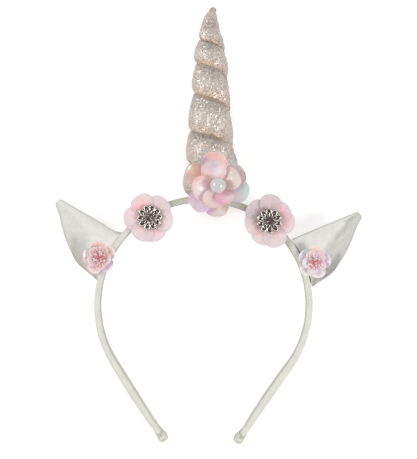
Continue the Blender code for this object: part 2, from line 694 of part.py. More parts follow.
def main():
    """Build every piece and lay the headband on its back."""
    clear_scene()
    frame = bpy.data.objects.new("resting_pose", None)
    bpy.context.scene.collection.objects.link(frame)
    satin = make_material("satin_ribbon", (0.86, 0.84, 0.78), 0.45)
    glitter = make_material("glitter_cloth", (0.66, 0.60, 0.55), 0.35, 0.4)
    felt = make_material("white_felt", (0.84, 0.84, 0.80), 0.9)
    film = make_material("pearly_film", (0.90, 0.66, 0.68), 0.2)
    frosted = make_material("frosted_film", (0.90, 0.74, 0.75), 0.6)
    silver = make_material("old_silver", (0.55, 0.52, 0.50), 0.25, 1.0)
    crystal = make_material("crystal", (0.80, 0.78, 0.80), 0.05)
    pearl = make_material("pearl", (0.92, 0.88, 0.88), 0.2)
    glass = make_material("pink_glass", (0.85, 0.42, 0.50), 0.15)
    build_band(frame, satin)
    build_tip_wraps(frame, satin)
    build_horn(frame, glitter)
    for ear in EARS:
        build_ear(ear, frame, felt)
    build_rose(frame, film, pearl, satin)
    for blossom in (BLOSSOM_LEFT, BLOSSOM_RIGHT):
        build_blossom(blossom, frame, frosted, silver, crystal)
    for blossom in SEQUIN_BLOSSOMS:
        build_sequin_blossom(blossom, frame, film, glass)
    lay_down(frame)


main()
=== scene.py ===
"""A unicorn horn headband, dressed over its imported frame.

A satin-covered band carries a stuffed glitter-cloth horn, two felt ears, a pearly rose with a pearl,
two frosted blossoms with silver caps and two small sequin blossoms. Pieces are modelled in the
headband's own frame (X right, Y towards the horn's tip, Z towards the viewer, origin at the centre
of the round crown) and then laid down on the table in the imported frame's resting pose.
"""

import logging
import math
from dataclasses import dataclass, field, replace
from enum import Enum
from functools import cached_property
from typing import Callable, Sequence

import bpy
import bmesh
import numpy as np
from mathutils import Matrix, Vector, noise


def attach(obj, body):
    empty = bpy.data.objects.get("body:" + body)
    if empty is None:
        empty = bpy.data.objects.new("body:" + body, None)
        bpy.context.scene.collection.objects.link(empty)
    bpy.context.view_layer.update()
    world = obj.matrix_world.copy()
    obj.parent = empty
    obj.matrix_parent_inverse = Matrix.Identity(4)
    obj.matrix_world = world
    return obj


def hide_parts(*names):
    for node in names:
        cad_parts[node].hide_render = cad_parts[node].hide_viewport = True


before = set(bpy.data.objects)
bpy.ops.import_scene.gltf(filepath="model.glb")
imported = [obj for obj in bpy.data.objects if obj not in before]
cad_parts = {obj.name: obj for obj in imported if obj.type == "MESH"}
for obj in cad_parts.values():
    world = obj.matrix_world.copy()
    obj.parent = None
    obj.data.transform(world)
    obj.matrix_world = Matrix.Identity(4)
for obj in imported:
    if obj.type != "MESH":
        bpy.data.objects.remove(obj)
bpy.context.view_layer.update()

LOG = logging.getLogger("headband")
MM = 0.001
BODY = "root"
RESTING_POSE = Matrix.Translation(Vector((-1.2228, -46.0581, 9.7951)) * MM) @ Matrix.Rotation(
    math.radians(4.3091), 4, "X"
)

Colour = tuple[float, float, float]
WHITE: Colour = (1.0, 1.0, 1.0)
Faces = list[tuple[int, ...]]


def off_table(point: Vector, spare: float) -> Vector:
    """Lift a point of the headband's own frame that would lie in the table.

    Args:
        point: The point.
        spare: How far it stays above the table at least.

    Returns:
        The point, or the one above it that is clear of the table.
    """
    lean = RESTING_POSE.to_euler().x
    table = (spare - RESTING_POSE.translation.z - point.y * math.sin(lean)) / math.cos(lean)
    return Vector((point.x, point.y, max(point.z, table)))


def bump(away: float, width: float) -> float:
    """Give a soft bump: 1 in its middle, falling off with the distance from it."""
    return math.exp(-((away / width) ** 2))


def clamped(value: float) -> float:
    """Keep a number between 0 and 1."""
    return min(1.0, max(0.0, value))


def powered(value: float, power: float) -> float:
    """Raise a number's size to a power and keep its sign."""
    return math.copysign(abs(value) ** power, value)


def plain(colour: Sequence[float]) -> Colour:
    """Turn a colour's numbers into plain floats."""
    return tuple(float(c) for c in colour)


def circle(radius: float, height: float, count: int, turn: float = 0.0) -> list[Vector]:
    """Give evenly spaced points of a level ring round the Z axis."""
    turns = [turn + 2 * math.pi * k / count for k in range(count)]
    return [Vector((radius * math.cos(a), radius * math.sin(a), height)) for a in turns]


@dataclass(frozen=True)
class CubicTable:
    """A smooth cubic through a table of places and values, held level beyond its ends.

    Attributes:
        places: Where each row stands, rising.
        values: What the curve passes through there: numbers, or arrays of one shape.
    """

    places: tuple[float, ...]
    values: tuple

    def slope(self, row: int):
        """Give the curve's slope at a row of the table."""
        low, high = max(row - 1, 0), min(row + 1, len(self.places) - 1)
        return (self.values[high] - self.values[low]) / (self.places[high] - self.places[low])

    def at(self, place: float):
        """Read the curve.

        Args:
            place: Where to read it.

        Returns:
            The value there.
        """
        row = min(max(sum(1 for p in self.places if p <= place) - 1, 0), len(self.places) - 2)
        span = self.places[row + 1] - self.places[row]
        u = clamped((place - self.places[row]) / span)
        return (
            (2 * u**3 - 3 * u**2 + 1) * self.values[row]
            + (u**3 - 2 * u**2 + u) * span * self.slope(row)
            + (3 * u**2 - 2 * u**3) * self.values[row + 1]
            + (u**3 - u**2) * span * self.slope(row + 1)
        )


@dataclass
class Blank:
    """A piece's points and faces before it is laid on the table, in the headband's own frame.

    Attributes:
        points: One (x, y, z) for each point, in metres.
        faces: The points of each face, seen from outside in turn.
        lay: Where each point lies on its cloth or film, as (along, across).
        dye: Each point's own colour, in linear light, with painted light and shade on some pieces.
    """

    points: list = field(default_factory=list)
    faces: Faces = field(default_factory=list)
    lay: list = field(default_factory=list)
    dye: list = field(default_factory=list)

    def add(self, other: "Blank", place: Matrix | None = None) -> "Blank":
        """Take in another blank's points and faces.

        Args:
            other: The blank to take in.
            place: Where it goes, or None to leave it where it is.

        Returns:
            This blank.
        """
        start = len(self.points)
        self.points += [place @ Vector(p) if place else Vector(p) for p in other.points]
        self.faces += [tuple(start + i for i in face) for face in other.faces]
        self.lay += other.lay
        self.dye += other.dye
        return self

    def dyed(self, colour: Colour) -> "Blank":
        """Dye every point alike."""
        self.dye = [tuple(colour)] * len(self.points)
        return self

    def flipped(self) -> "Blank":
        """Turn every face over."""
        self.faces = [face[::-1] for face in self.faces]
        return self


def grid_faces(rows: int, columns: int, closed: bool = False) -> Faces:
    """List the quads of a grid of points.

    Args:
        rows: How many rows of points there are.
        columns: How many points a row has.
        closed: Whether each row's end joins its start.

    Returns:
        The faces, as point numbers.
    """
    faces = []
    for r in range(rows - 1):
        for c in range(columns if closed else columns - 1):
            d = (c + 1) % columns
            low, high = r * columns, (r + 1) * columns
            faces.append((low + c, low + d, high + d, high + c))
    return faces


def disc_faces(sides: int, rings: int) -> Faces:
    """List the faces of a thin disc: a middle point and its rings above, and the same again below.

    Args:
        sides: How many points a ring has.
        rings: How many rings each face has.

    Returns:
        The faces, as point numbers.
    """
    faces = []
    layer, rim = 1 + rings * sides, 1 + (rings - 1) * sides
    for i in range(sides):
        j = (i + 1) % sides
        faces += [(0, 1 + i, 1 + j), (layer, layer + 1 + j, layer + 1 + i)]
        for low in range(1, rim, sides):
            high = low + sides
            faces.append((low + i, high + i, high + j, low + j))
            faces.append((layer + low + i, layer + low + j, layer + high + j, layer + high + i))
        faces.append((rim + i, layer + rim + i, layer + rim + j, rim + j))
    return faces


def loft(rings: Sequence[Sequence[Vector]], closed_ends: bool = True) -> Blank:
    """Skin equal rings of points into one closed form.

    Args:
        rings: The rings, each seen the same way round.
        closed_ends: Whether the first and last ring get a face.

    Returns:
        The skinned blank, with its lay in metres along and round the form.
    """
    sides = len(rings[0])
    points = [Vector(p) for ring in rings for p in ring]
    faces = grid_faces(len(rings), sides, closed=True)
    if closed_ends:
        faces.append(tuple(range(sides - 1, -1, -1)))
        faces.append(tuple(range((len(rings) - 1) * sides, len(rings) * sides)))
    lay = []
    along = 0.0
    for k, ring in enumerate(rings):
        if k:
            along += (Vector(ring[0]) - Vector(rings[k - 1][0])).length
        around = 0.0
        for i, point in enumerate(ring):
            if i:
                around += (Vector(point) - Vector(ring[i - 1])).length
            lay.append((along, around))
    return Blank(points, faces, lay)


def tube(
    path: Sequence[Vector], radius: float | Callable[[float], float], sides: int = 8, closed: bool = False
) -> Blank:
    """Run a round wire or thread along a path.

    Args:
        path: The points of its middle line.
        radius: Its radius, or a function from 0 to 1 along the path that gives it.
        sides: How many sides the round has.
        closed: Whether the path's end joins its start.

    Returns:
        The tube.
    """
    count = len(path)
    rings = []
    across = None
    for i, point in enumerate(path):
        ahead = path[(i + 1) % count] if closed or i + 1 < count else path[i]
        behind = path[i - 1] if closed or i else path[i]
        tangent = (Vector(ahead) - Vector(behind)).normalized()
        if across is None:
            across = tangent.orthogonal().normalized()
        across = (across - tangent * across.dot(tangent)).normalized()
        other = tangent.cross(across)
        size = radius(i / max(count - 1, 1)) if callable(radius) else radius
        turns = [2 * math.pi * k / sides for k in range(sides)]
        rings.append([Vector(point) + (across * math.cos(a) + other * math.sin(a)) * size for a in turns])
    if not closed:
        return loft(rings)
    blank = loft(rings, closed_ends=False)
    first, last = rings[0], rings[-1]
    shift = min(range(sides), key=lambda s: (first[s] - last[0]).length)
    low = (count - 1) * sides
    for k in range(sides):
        j = (k + 1) % sides
        blank.faces.append((low + k, low + j, (j + shift) % sides, (k + shift) % sides))
    return blank


def turned(profile: Sequence[tuple[float, float]], sides: int, turn: float = 0.0) -> Blank:
    """Turn a profile round the Z axis.

    Args:
        profile: (radius, height) pairs from the foot up.
        sides: How many sides the round has.
        turn: How far the first point is turned, in radians.

    Returns:
        The turned form.
    """
    return loft([circle(radius, height, sides, turn) for radius, height in profile])


def ball(radius: float, rings: int = 12, sides: int = 20, squash: float = 1.0) -> Blank:
    """Make a ball round the origin.

    Args:
        radius: Its radius.
        rings: How many steps it has from pole to pole.
        sides: How many sides it has.
        squash: Its height as a share of its width.

    Returns:
        The ball.
    """
    profile = []
    for k in range(rings + 1):
        polar = math.pi * min(max(k / rings, 0.02), 0.98)
        profile.append((radius * math.sin(polar), -radius * squash * math.cos(polar)))
    return turned(profile, sides)


def rounded_section(
    thickness: float, depth: float, squareness: float, count: int, inward: float = 0.0
) -> list[tuple[float, float]]:
    """Draw a padded strip's section.

    Args:
        thickness: Its size outwards.
        depth: Its size towards the viewer.
        squareness: The power of its rounded rectangle: 2 is an ellipse.
        count: How many points it has.
        inward: How far it is shifted inwards.

    Returns:
        (outward, front) pairs.
    """
    pairs = []
    for i in range(count):
        a = 2 * math.pi * i / count
        out = powered(math.cos(a), 2 / squareness) * thickness / 2
        pairs.append((out - inward, powered(math.sin(a), 2 / squareness) * depth / 2))
    return pairs


def wander(seed: float, *at: float) -> float:
    """Give smooth noise from -1 to 1 that is the same each run.

    Args:
        seed: Which noise.
        at: Up to three places.

    Returns:
        The noise there.
    """
    x, y, z = (*at, 0.0, 0.0, 0.0)[:3]
    return noise.noise(Vector((x + 17.3 * seed, y - 5.1 * seed, z + 9.7 * seed)))


class Recipe:
    """Lays out the nodes of one procedural material round its Principled shader."""

    def __init__(self, name: str) -> None:
        """Start an empty material with that name."""
        self.material = bpy.data.materials.new(name)
        self.material.use_nodes = True
        self.tree = self.material.node_tree
        self.shader = self.tree.nodes["Principled BSDF"]

    def node(self, kind: str, links: dict | None = None, **settings):
        """Add a node.

        Args:
            kind: The node's type without its ShaderNode prefix.
            links: For each input, by name or number, a socket to link or a plain value.
            settings: The node's own options.

        Returns:
            The node.
        """
        made = self.tree.nodes.new("ShaderNode" + kind)
        for name, value in settings.items():
            setattr(made, name, value)
        for key, value in (links or {}).items():
            self.feed(made.inputs[key], value)
        return made

    def feed(self, socket, value) -> None:
        """Link a socket, or set its plain value."""
        if isinstance(value, bpy.types.NodeSocket):
            self.tree.links.new(value, socket)
        else:
            socket.default_value = value

    def surface(self, **values) -> None:
        """Set the shader's sockets, each named with _ for a space."""
        for name, value in values.items():
            socket = self.shader.inputs[name.replace("_", " ").title().replace("Ior", "IOR")]
            self.feed(socket, (*value, 1.0) if is_colour(value) and socket.type == "RGBA" else value)

    def place(self) -> bpy.types.NodeSocket:
        """Give each point's place on the object, in metres."""
        return self.node("TexCoord").outputs["Object"]

    def lay(self) -> bpy.types.NodeSocket:
        """Give each point's (along, across) on its cloth or film."""
        return self.node("UVMap", uv_map="lay").outputs["UV"]

    def dye(self) -> bpy.types.NodeSocket:
        """Give each point's own dye, with painted light and shade on some pieces."""
        return self.node("Attribute", attribute_name="dye").outputs["Color"]

    def grain(self, at, scale: float, detail: float = 3.0, roughness: float = 0.5) -> bpy.types.NodeSocket:
        """Add soft noise.

        Args:
            at: The place socket.
            scale: Its waves in a metre.
            detail: How many finer layers it has.
            roughness: How strong these are.

        Returns:
            The noise, from 0 to 1.
        """
        links = {"Vector": at, "Scale": scale, "Detail": detail, "Roughness": roughness}
        return self.node("TexNoise", links).outputs["Fac"]

    def blend(self, share, first, second, how: str = "MIX") -> bpy.types.NodeSocket:
        """Mix two colours.

        Args:
            share: How much of the second, as a number or a socket.
            first: The first colour.
            second: The second colour.
            how: The kind of mix.

        Returns:
            The mixed colour.
        """
        mix = self.node("Mix", data_type="RGBA", blend_type=how)
        sockets = [s for s in mix.inputs if s.enabled]
        for socket, value in zip(sockets, (share, first, second)):
            self.feed(socket, (*value, 1.0) if is_colour(value) else value)
        return next(s for s in mix.outputs if s.enabled)

    def times(self, first, second) -> bpy.types.NodeSocket:
        """Multiply two colours."""
        return self.blend(1.0, first, second, "MULTIPLY")

    def clouds(
        self, at, scale: float, detail: float, dark: Colour, light: Colour, reach: float = 0.15
    ) -> bpy.types.NodeSocket:
        """Cloud a surface softly with two colours.

        Args:
            at: The place socket.
            scale: The clouds in a metre.
            detail: How many finer layers they have.
            dark: The colour of the noise's low places.
            light: The colour of its high places.
            reach: How far the noise goes on either side of its middle before it is all one colour.

        Returns:
            The clouded colour.
        """
        return self.ramp(self.grain(at, scale, detail), [(0.5 - reach, dark), (0.5 + reach, light)])

    def ramp(self, at, stops: Sequence[tuple[float, Colour]], steps: bool = False) -> bpy.types.NodeSocket:
        """Turn a number into a colour.

        Args:
            at: The number's socket.
            stops: (place, colour) pairs from 0 to 1.
            steps: Whether the colours change in steps.

        Returns:
            The colour.
        """
        made = self.node("ValToRGB", {"Fac": at})
        band = made.color_ramp
        band.interpolation = "CONSTANT" if steps else "EASE"
        for number, (place, colour) in enumerate(stops):
            stop = band.elements[number] if number < 2 else band.elements.new(place)
            stop.position = place
            stop.color = (*colour, 1.0)
        return made.outputs["Color"]

    def spread(self, at, low: float, high: float) -> bpy.types.NodeSocket:
        """Stretch a number from 0 to 1 over a range."""
        links = {"Value": at, "To Min": low, "To Max": high}
        return self.node("MapRange", links).outputs["Result"]

    def relief(self, height, depth: float, normal=None) -> bpy.types.NodeSocket:
        """Emboss the surface.

        Args:
            height: The relief's height, from 0 to 1.
            depth: What 1 stands for, in metres.
            normal: Another relief to add it to.

        Returns:
            The embossed normal.
        """
        links = {"Height": height, "Distance": depth, "Strength": 1.0}
        if normal is not None:
            links["Normal"] = normal
        return self.node("Bump", links).outputs["Normal"]


def is_colour(value) -> bool:
    """Tell a plain RGB colour from a number or a socket."""
    return isinstance(value, tuple) and len(value) == 3


@dataclass(frozen=True)
class GlitterCloth:
    """Champagne glitter cloth: fine foil flakes at odd tilts over the cloth's dye, which holds the horn's painted light
    and shade.

    Attributes:
        flake: A flake's width.
        tilt: How far flakes tilt off the cloth.
        cover: How much of the dye the flakes hide.
        colours: Flake colours, each as likely as the others.
    """

    flake: float = 0.54 * MM
    tilt: float = 0.70
    cover: float = 0.68
    colours: tuple[Colour, ...] = (
        (0.10, 0.085, 0.07),
        (0.24, 0.19, 0.155),
        (0.62, 0.55, 0.49),
        (0.46, 0.40, 0.35),
        (0.78, 0.74, 0.70),
        (0.33, 0.29, 0.27),
        (0.92, 0.60, 0.32),
        (0.60, 0.58, 0.57),
        (0.40, 0.46, 0.40),
        (0.70, 0.63, 0.57),
        (0.52, 0.44, 0.52),
        (1.00, 0.98, 0.95),
    )

    def make(self) -> bpy.types.Material:
        """Mix the material."""
        r = Recipe("glitter_cloth")
        at = r.place()
        fine = r.node("TexVoronoi", {"Vector": at, "Scale": 1 / self.flake, "Randomness": 1.0})
        finer = r.node("TexVoronoi", {"Vector": at, "Scale": 1.9 / self.flake, "Randomness": 1.0})
        chance = r.node("SeparateColor", {"Color": fine.outputs["Color"]})
        other = r.node("SeparateColor", {"Color": finer.outputs["Color"]})
        count = len(self.colours)
        stops = [(i / count, colour) for i, colour in enumerate(self.colours)]
        flakes = r.blend(
            0.35, r.ramp(chance.outputs["Red"], stops, steps=True), r.ramp(other.outputs["Red"], stops, steps=True)
        )
        colour = r.blend(self.cover, r.dye(), r.times(flakes, r.blend(0.5, r.dye(), WHITE)))
        lit = r.node("VectorMath", {0: colour, "Scale": 1.12}, operation="SCALE")
        tilt = r.node("VectorMath", {0: fine.outputs["Color"], 1: (0.5, 0.5, 0.5)}, operation="SUBTRACT")
        lean = r.node("VectorMath", {0: tilt.outputs[0], "Scale": self.tilt}, operation="SCALE")
        normal = r.node("NewGeometry").outputs["Normal"]
        tilted = r.node("VectorMath", {0: normal, 1: lean.outputs[0]}, operation="ADD")
        facing = r.node("VectorMath", {0: tilted.outputs[0]}, operation="NORMALIZE")
        r.surface(
            base_color=lit.outputs[0],
            metallic=0.45,
            roughness=r.spread(chance.outputs["Green"], 0.28, 0.6),
            normal=facing.outputs[0],
            specular_ior_level=0.6,
        )
        return r.material


@dataclass(frozen=True)
class SatinRibbon:
    """Ivory satin ribbon with a fine cross weave.

    Attributes:
        name: The material's name.
        colour: Its colour.
        pitch: The width of one weft thread.
    """

    name: str = "satin_ribbon"
    colour: Colour = (0.72, 0.71, 0.63)
    pitch: float = 0.24 * MM

    def make(self) -> bpy.types.Material:
        """Mix the material."""
        r = Recipe(self.name)
        at, lay = r.place(), r.lay()
        threads = r.node(
            "TexWave",
            {"Vector": lay, "Scale": 1 / self.pitch / 6.0, "Distortion": 1.2, "Detail": 2.0, "Detail Scale": 2.0},
            bands_direction="X",
        )
        slubs = r.grain(at, 900.0, 4.0)
        dark = tuple(0.96 * c for c in self.colour)
        light = tuple(min(1.0, 1.02 * c) for c in self.colour)
        cloudy = r.clouds(at, 160.0, 3.0, dark, light)
        shaded = r.times(cloudy, r.dye())
        streaks = r.blend(0.12, shaded, threads.outputs["Color"], "MULTIPLY")
        weave = r.relief(threads.outputs["Fac"], 0.03 * MM, r.relief(slubs, 0.06 * MM))
        r.surface(
            base_color=streaks,
            roughness=r.spread(slubs, 0.34, 0.50),
            anisotropic=0.45,
            sheen_weight=0.15,
            sheen_roughness=0.4,
            normal=weave,
        )
        return r.material


@dataclass(frozen=True)
class WhiteFelt:
    """Soft ivory felt with matted fibres.

    Attributes:
        colour: Its colour.
    """

    colour: Colour = (0.80, 0.80, 0.765)

    def make(self) -> bpy.types.Material:
        """Mix the material."""
        r = Recipe("white_felt")
        at = r.place()
        stretch = r.node("Mapping", {"Vector": at, "Scale": (1.0, 0.35, 0.6), "Rotation": (0.4, 0.2, 0.7)})
        cross = r.node("Mapping", {"Vector": at, "Scale": (0.35, 1.0, 0.5), "Rotation": (0.1, 0.5, -0.6)})
        one = r.grain(stretch.outputs[0], 2600.0, 3.0, 0.6)
        other = r.grain(cross.outputs[0], 2300.0, 3.0, 0.6)
        fibres = r.node("Math", {0: one, 1: other}, operation="MULTIPLY").outputs[0]
        clumps = r.grain(at, 260.0, 4.0, 0.6)
        dark = tuple(0.95 * c for c in self.colour)
        light = tuple(1.03 * c for c in self.colour)
        # The dye brings the ears' painted shade and painted light.
        base = r.times(r.ramp(clumps, [(0.3, dark), (0.7, light)]), r.dye())
        colour = r.blend(r.spread(fibres, 0.0, 0.25), base, r.times((0.92, 0.92, 0.88), r.dye()))
        r.surface(
            base_color=colour,
            roughness=0.95,
            specular_ior_level=0.25,
            sheen_weight=0.30,
            sheen_roughness=0.55,
            normal=r.relief(fibres, 0.10 * MM, r.relief(clumps, 0.16 * MM)),
        )
        return r.material


@dataclass(frozen=True)
class PearlyFilm:
    """Thin pressed film with a pearly bloom: each petal's own dye, with its painted highlights, under a clear gloss.

    Attributes:
        name: The material's name.
        bloom: The film's thickness in nanometres, which sets the colours of its shine.
        gloss: The roughness of its surface.
        depth: How much light goes through it.
    """

    name: str = "pearly_film"
    bloom: float = 420.0
    gloss: float = 0.24
    depth: float = 0.25

    def make(self) -> bpy.types.Material:
        """Mix the material."""
        r = Recipe(self.name)
        at, lay = r.place(), r.lay()
        ribs = r.node(
            "TexWave",
            {"Vector": lay, "Scale": 5.0, "Distortion": 1.5, "Detail": 1.0},
            bands_direction="Y",
        ).outputs["Fac"]
        mist = r.clouds(at, 420.0, 3.0, (0.94, 0.94, 0.95), WHITE)
        sheen = r.ramp(
            r.grain(at, 170.0, 1.5),
            [(0.34, (1.0, 0.91, 0.94)), (0.45, (1.0, 1.0, 0.93)), (0.55, (0.95, 0.99, 1.0)), (0.66, (1.0, 0.93, 0.98))],
        )
        colour = r.times(r.times(r.dye(), mist), sheen)
        r.surface(
            base_color=colour,
            roughness=r.spread(r.grain(at, 700.0), self.gloss - 0.05, self.gloss + 0.08),
            subsurface_weight=self.depth,
            subsurface_radius=(0.9 * MM, 0.7 * MM, 0.7 * MM),
            subsurface_scale=1.0,
            coat_weight=0.9,
            coat_roughness=0.09,
            thin_film_thickness=self.bloom,
            thin_film_ior=1.6,
            specular_ior_level=0.75,
            normal=r.relief(ribs, 0.03 * MM, r.relief(r.grain(at, 240.0, 2.0), 0.12 * MM)),
        )
        return r.material


@dataclass(frozen=True)
class FrostedFilm:
    """Milky frosted film with a soft blush and a fine grain."""

    name: str = "frosted_film"

    def make(self) -> bpy.types.Material:
        """Mix the material."""
        r = Recipe(self.name)
        at = r.place()
        specks = r.node("TexVoronoi", {"Vector": at, "Scale": 1500.0, "Randomness": 1.0})
        dots = r.ramp(specks.outputs["Distance"], [(0.10, (0.93, 0.80, 0.82)), (0.32, WHITE)])
        mist = r.clouds(at, 500.0, 3.0, (0.95, 0.95, 0.96), WHITE)
        colour = r.times(r.blend(0.6, r.dye(), dots, "MULTIPLY"), mist)
        r.surface(
            base_color=colour,
            roughness=0.5,
            subsurface_weight=0.35,
            subsurface_radius=(1.2 * MM, 0.8 * MM, 0.8 * MM),
            subsurface_scale=1.0,
            coat_weight=0.12,
            coat_roughness=0.35,
            normal=r.relief(r.grain(at, 2600.0, 2.0), 0.03 * MM, r.relief(r.grain(at, 300.0), 0.10 * MM)),
        )
        return r.material


@dataclass(frozen=True)
class OldSilver:
    """Polished silver, bright where it faces up and nearly black where it faces sideways: patina with painted shade."""

    def make(self) -> bpy.types.Material:
        """Mix the material."""
        r = Recipe("old_silver")
        at = r.place()
        # Painted shade by facing: the colour darkens as the surface turns sideways, over random patina.
        facing = r.node("SeparateXYZ", {"Vector": r.node("TexCoord").outputs["Normal"]}).outputs["Z"]
        facing_and_patina = r.node("Math", {0: facing, 1: r.spread(r.grain(at, 1300.0, 2.0), -0.20, 0.20)}, operation="ADD")
        depth = r.ramp(
            facing_and_patina.outputs[0],
            [(0.50, (0.030, 0.018, 0.016)), (0.70, (0.20, 0.145, 0.120)), (0.84, (1.0, 0.96, 0.90))],
        )
        worn = r.ramp(r.grain(at, 1500.0, 3.0), [(0.35, (0.70, 0.64, 0.58)), (0.6, WHITE)])
        r.surface(
            base_color=r.times(r.times(depth, worn), r.dye()),
            metallic=1.0,
            roughness=r.spread(r.grain(at, 1100.0), 0.09, 0.24),
            normal=r.relief(r.grain(at, 1800.0, 3.0), 0.05 * MM),
        )
        return r.material


@dataclass(frozen=True)
class CutCrystal:
    """Foil-backed cut crystal whose facets carry painted reflections in their dye."""

    def make(self) -> bpy.types.Material:
        """Mix the material."""
        r = Recipe("cut_crystal")
        scratches = r.grain(r.place(), 900.0)
        r.surface(
            base_color=r.dye(),
            metallic=0.25,
            roughness=r.spread(scratches, 0.05, 0.12),
            coat_weight=0.6,
            coat_roughness=0.03,
            specular_ior_level=0.5,
        )
        return r.material


@dataclass(frozen=True)
class PearlLustre:
    """A round pearl's soft grey lustre."""

    def make(self) -> bpy.types.Material:
        """Mix the material."""
        r = Recipe("pearl_lustre")
        at = r.place()
        layers = r.clouds(at, 330.0, 3.0, (0.54, 0.515, 0.515), (0.62, 0.60, 0.595), 0.2)
        r.surface(
            base_color=layers,
            roughness=0.22,
            specular_ior_level=0.8,
            subsurface_weight=0.2,
            subsurface_radius=(1.0 * MM, 0.9 * MM, 0.9 * MM),
            subsurface_scale=1.0,
            coat_weight=1.0,
            coat_roughness=0.03,
            normal=r.relief(r.grain(at, 1600.0, 2.0), 0.006 * MM),
        )
        return r.material


@dataclass(frozen=True)
class PinkGlass:
    """Clear rose glass for the small beads."""

    def make(self) -> bpy.types.Material:
        """Mix the material."""
        r = Recipe("pink_glass")
        at = r.place()
        swirl = r.clouds(at, 800.0, 2.0, (0.90, 0.92, 0.93), WHITE, 0.2)
        r.surface(
            base_color=r.times(r.dye(), swirl),
            roughness=0.18,
            subsurface_weight=0.5,
            subsurface_radius=(1.2 * MM, 0.7 * MM, 0.7 * MM),
            subsurface_scale=1.0,
            coat_weight=0.5,
            coat_roughness=0.08,
            normal=r.relief(r.grain(at, 900.0), 0.04 * MM),
        )
        return r.material


@dataclass(frozen=True)
class SewingThread:
    """Twisted sewing thread.

    Attributes:
        name: The material's name.
        colour: Its colour.
    """

    name: str = "sewing_thread"
    colour: Colour = (0.62, 0.60, 0.54)

    def make(self) -> bpy.types.Material:
        """Mix the material."""
        r = Recipe(self.name)
        twist = r.node(
            "TexWave", {"Vector": r.lay(), "Scale": 420.0, "Distortion": 0.6}, bands_direction="DIAGONAL"
        ).outputs["Fac"]
        # Painted shade in the twist's grooves: the colour darkens where the relief sinks.
        dark = tuple(0.55 * c for c in self.colour)
        r.surface(
            base_color=r.ramp(twist, [(0.15, dark), (0.6, self.colour)]),
            roughness=0.55,
            sheen_weight=0.2,
            normal=r.relief(twist, 0.05 * MM),
        )
        return r.material


@dataclass(frozen=True)
class StudioPaper:
    """The pale paper floor, lit a little from behind.

    Attributes:
        glow: How much light comes through it.
    """

    glow: float = 0.28

    def make(self) -> bpy.types.Material:
        """Mix the material."""
        r = Recipe("studio_paper")
        grain = r.clouds(r.place(), 40.0, 4.0, (0.92, 0.92, 0.92), (0.94, 0.94, 0.94), 0.2)
        r.surface(
            base_color=grain,
            roughness=0.9,
            specular_ior_level=0.1,
            emission_color=WHITE,
            emission_strength=self.glow,
        )
        return r.material


class Slot(Enum):
    """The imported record's material slots."""

    BAND = "satin_band"
    RIBBON = "satin_ribbon"
    GLITTER = "glitter_cloth"
    FELT = "white_felt"
    PEARLY = "pearly_film"
    FROSTED = "frosted_film"
    SILVER = "old_silver"
    CRYSTAL = "crystal"
    PEARL = "pearl"
    PINK_GLASS = "pink_glass"


class Finishes:
    """Keeps one material of each finish, mixed when it is first asked for."""

    def __init__(self) -> None:
        """Start with no material mixed."""
        self.mixed: dict = {}

    def of(self, finish) -> bpy.types.Material:
        """Give a finish's material."""
        if finish not in self.mixed:
            self.mixed[finish] = finish.make()
        return self.mixed[finish]


FINISHES = Finishes()


def lay_piece(
    name: str,
    blank: Blank,
    finish,
    nodes: Sequence[str] = (),
    sharp: float = 60.0,
    smooth_levels: int = 0,
) -> bpy.types.Object:
    """Turn a blank into a finished piece on the table, riding on the headband's body.

    Args:
        name: The piece's name.
        blank: Its points and faces in the headband's own frame.
        finish: The finish that it wears.
        nodes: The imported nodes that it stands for.
        sharp: Edges steeper than this stay crisp, in degrees.
        smooth_levels: How often it is subdivided.

    Returns:
        The piece.
    """
    mesh = bpy.data.meshes.new(name)
    points = [RESTING_POSE @ Vector(p) for p in blank.points]
    mesh.from_pydata(points, [], blank.faces)
    if blank.lay:
        layer = mesh.uv_layers.new(name="lay")
        flat = np.array(blank.lay, np.float32)
        corners = np.empty(len(mesh.loops), np.int32)
        mesh.loops.foreach_get("vertex_index", corners)
        layer.data.foreach_set("uv", flat[corners].ravel())
    if blank.dye:
        per_face = len(blank.dye) == len(blank.faces) != len(blank.points)
        tint = mesh.attributes.new("dye", "FLOAT_COLOR", "FACE" if per_face else "POINT")
        rows = np.array([(*c, 1.0) for c in blank.dye], np.float32)
        tint.data.foreach_set("color", rows.ravel())
    mesh.validate(clean_customdata=False)
    mesh.shade_smooth()
    mesh.set_sharp_from_angle(angle=math.radians(sharp))
    mesh.materials.append(FINISHES.of(finish))
    piece = bpy.data.objects.new(name, mesh)
    bpy.context.scene.collection.objects.link(piece)
    if smooth_levels:
        fine = piece.modifiers.new("fine", "SUBSURF")
        fine.levels = fine.render_levels = smooth_levels
    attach(piece, BODY)
    if nodes:
        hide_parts(*nodes)
    LOG.info("%s: %d points, %d faces", name, len(mesh.vertices), len(mesh.polygons))
    return piece


class Side(Enum):
    """Which side of the headband, as the front is seen."""

    LEFT = -1
    RIGHT = 1

    @property
    def word(self) -> str:
        """The side's name for pieces."""
        return self.name.lower()


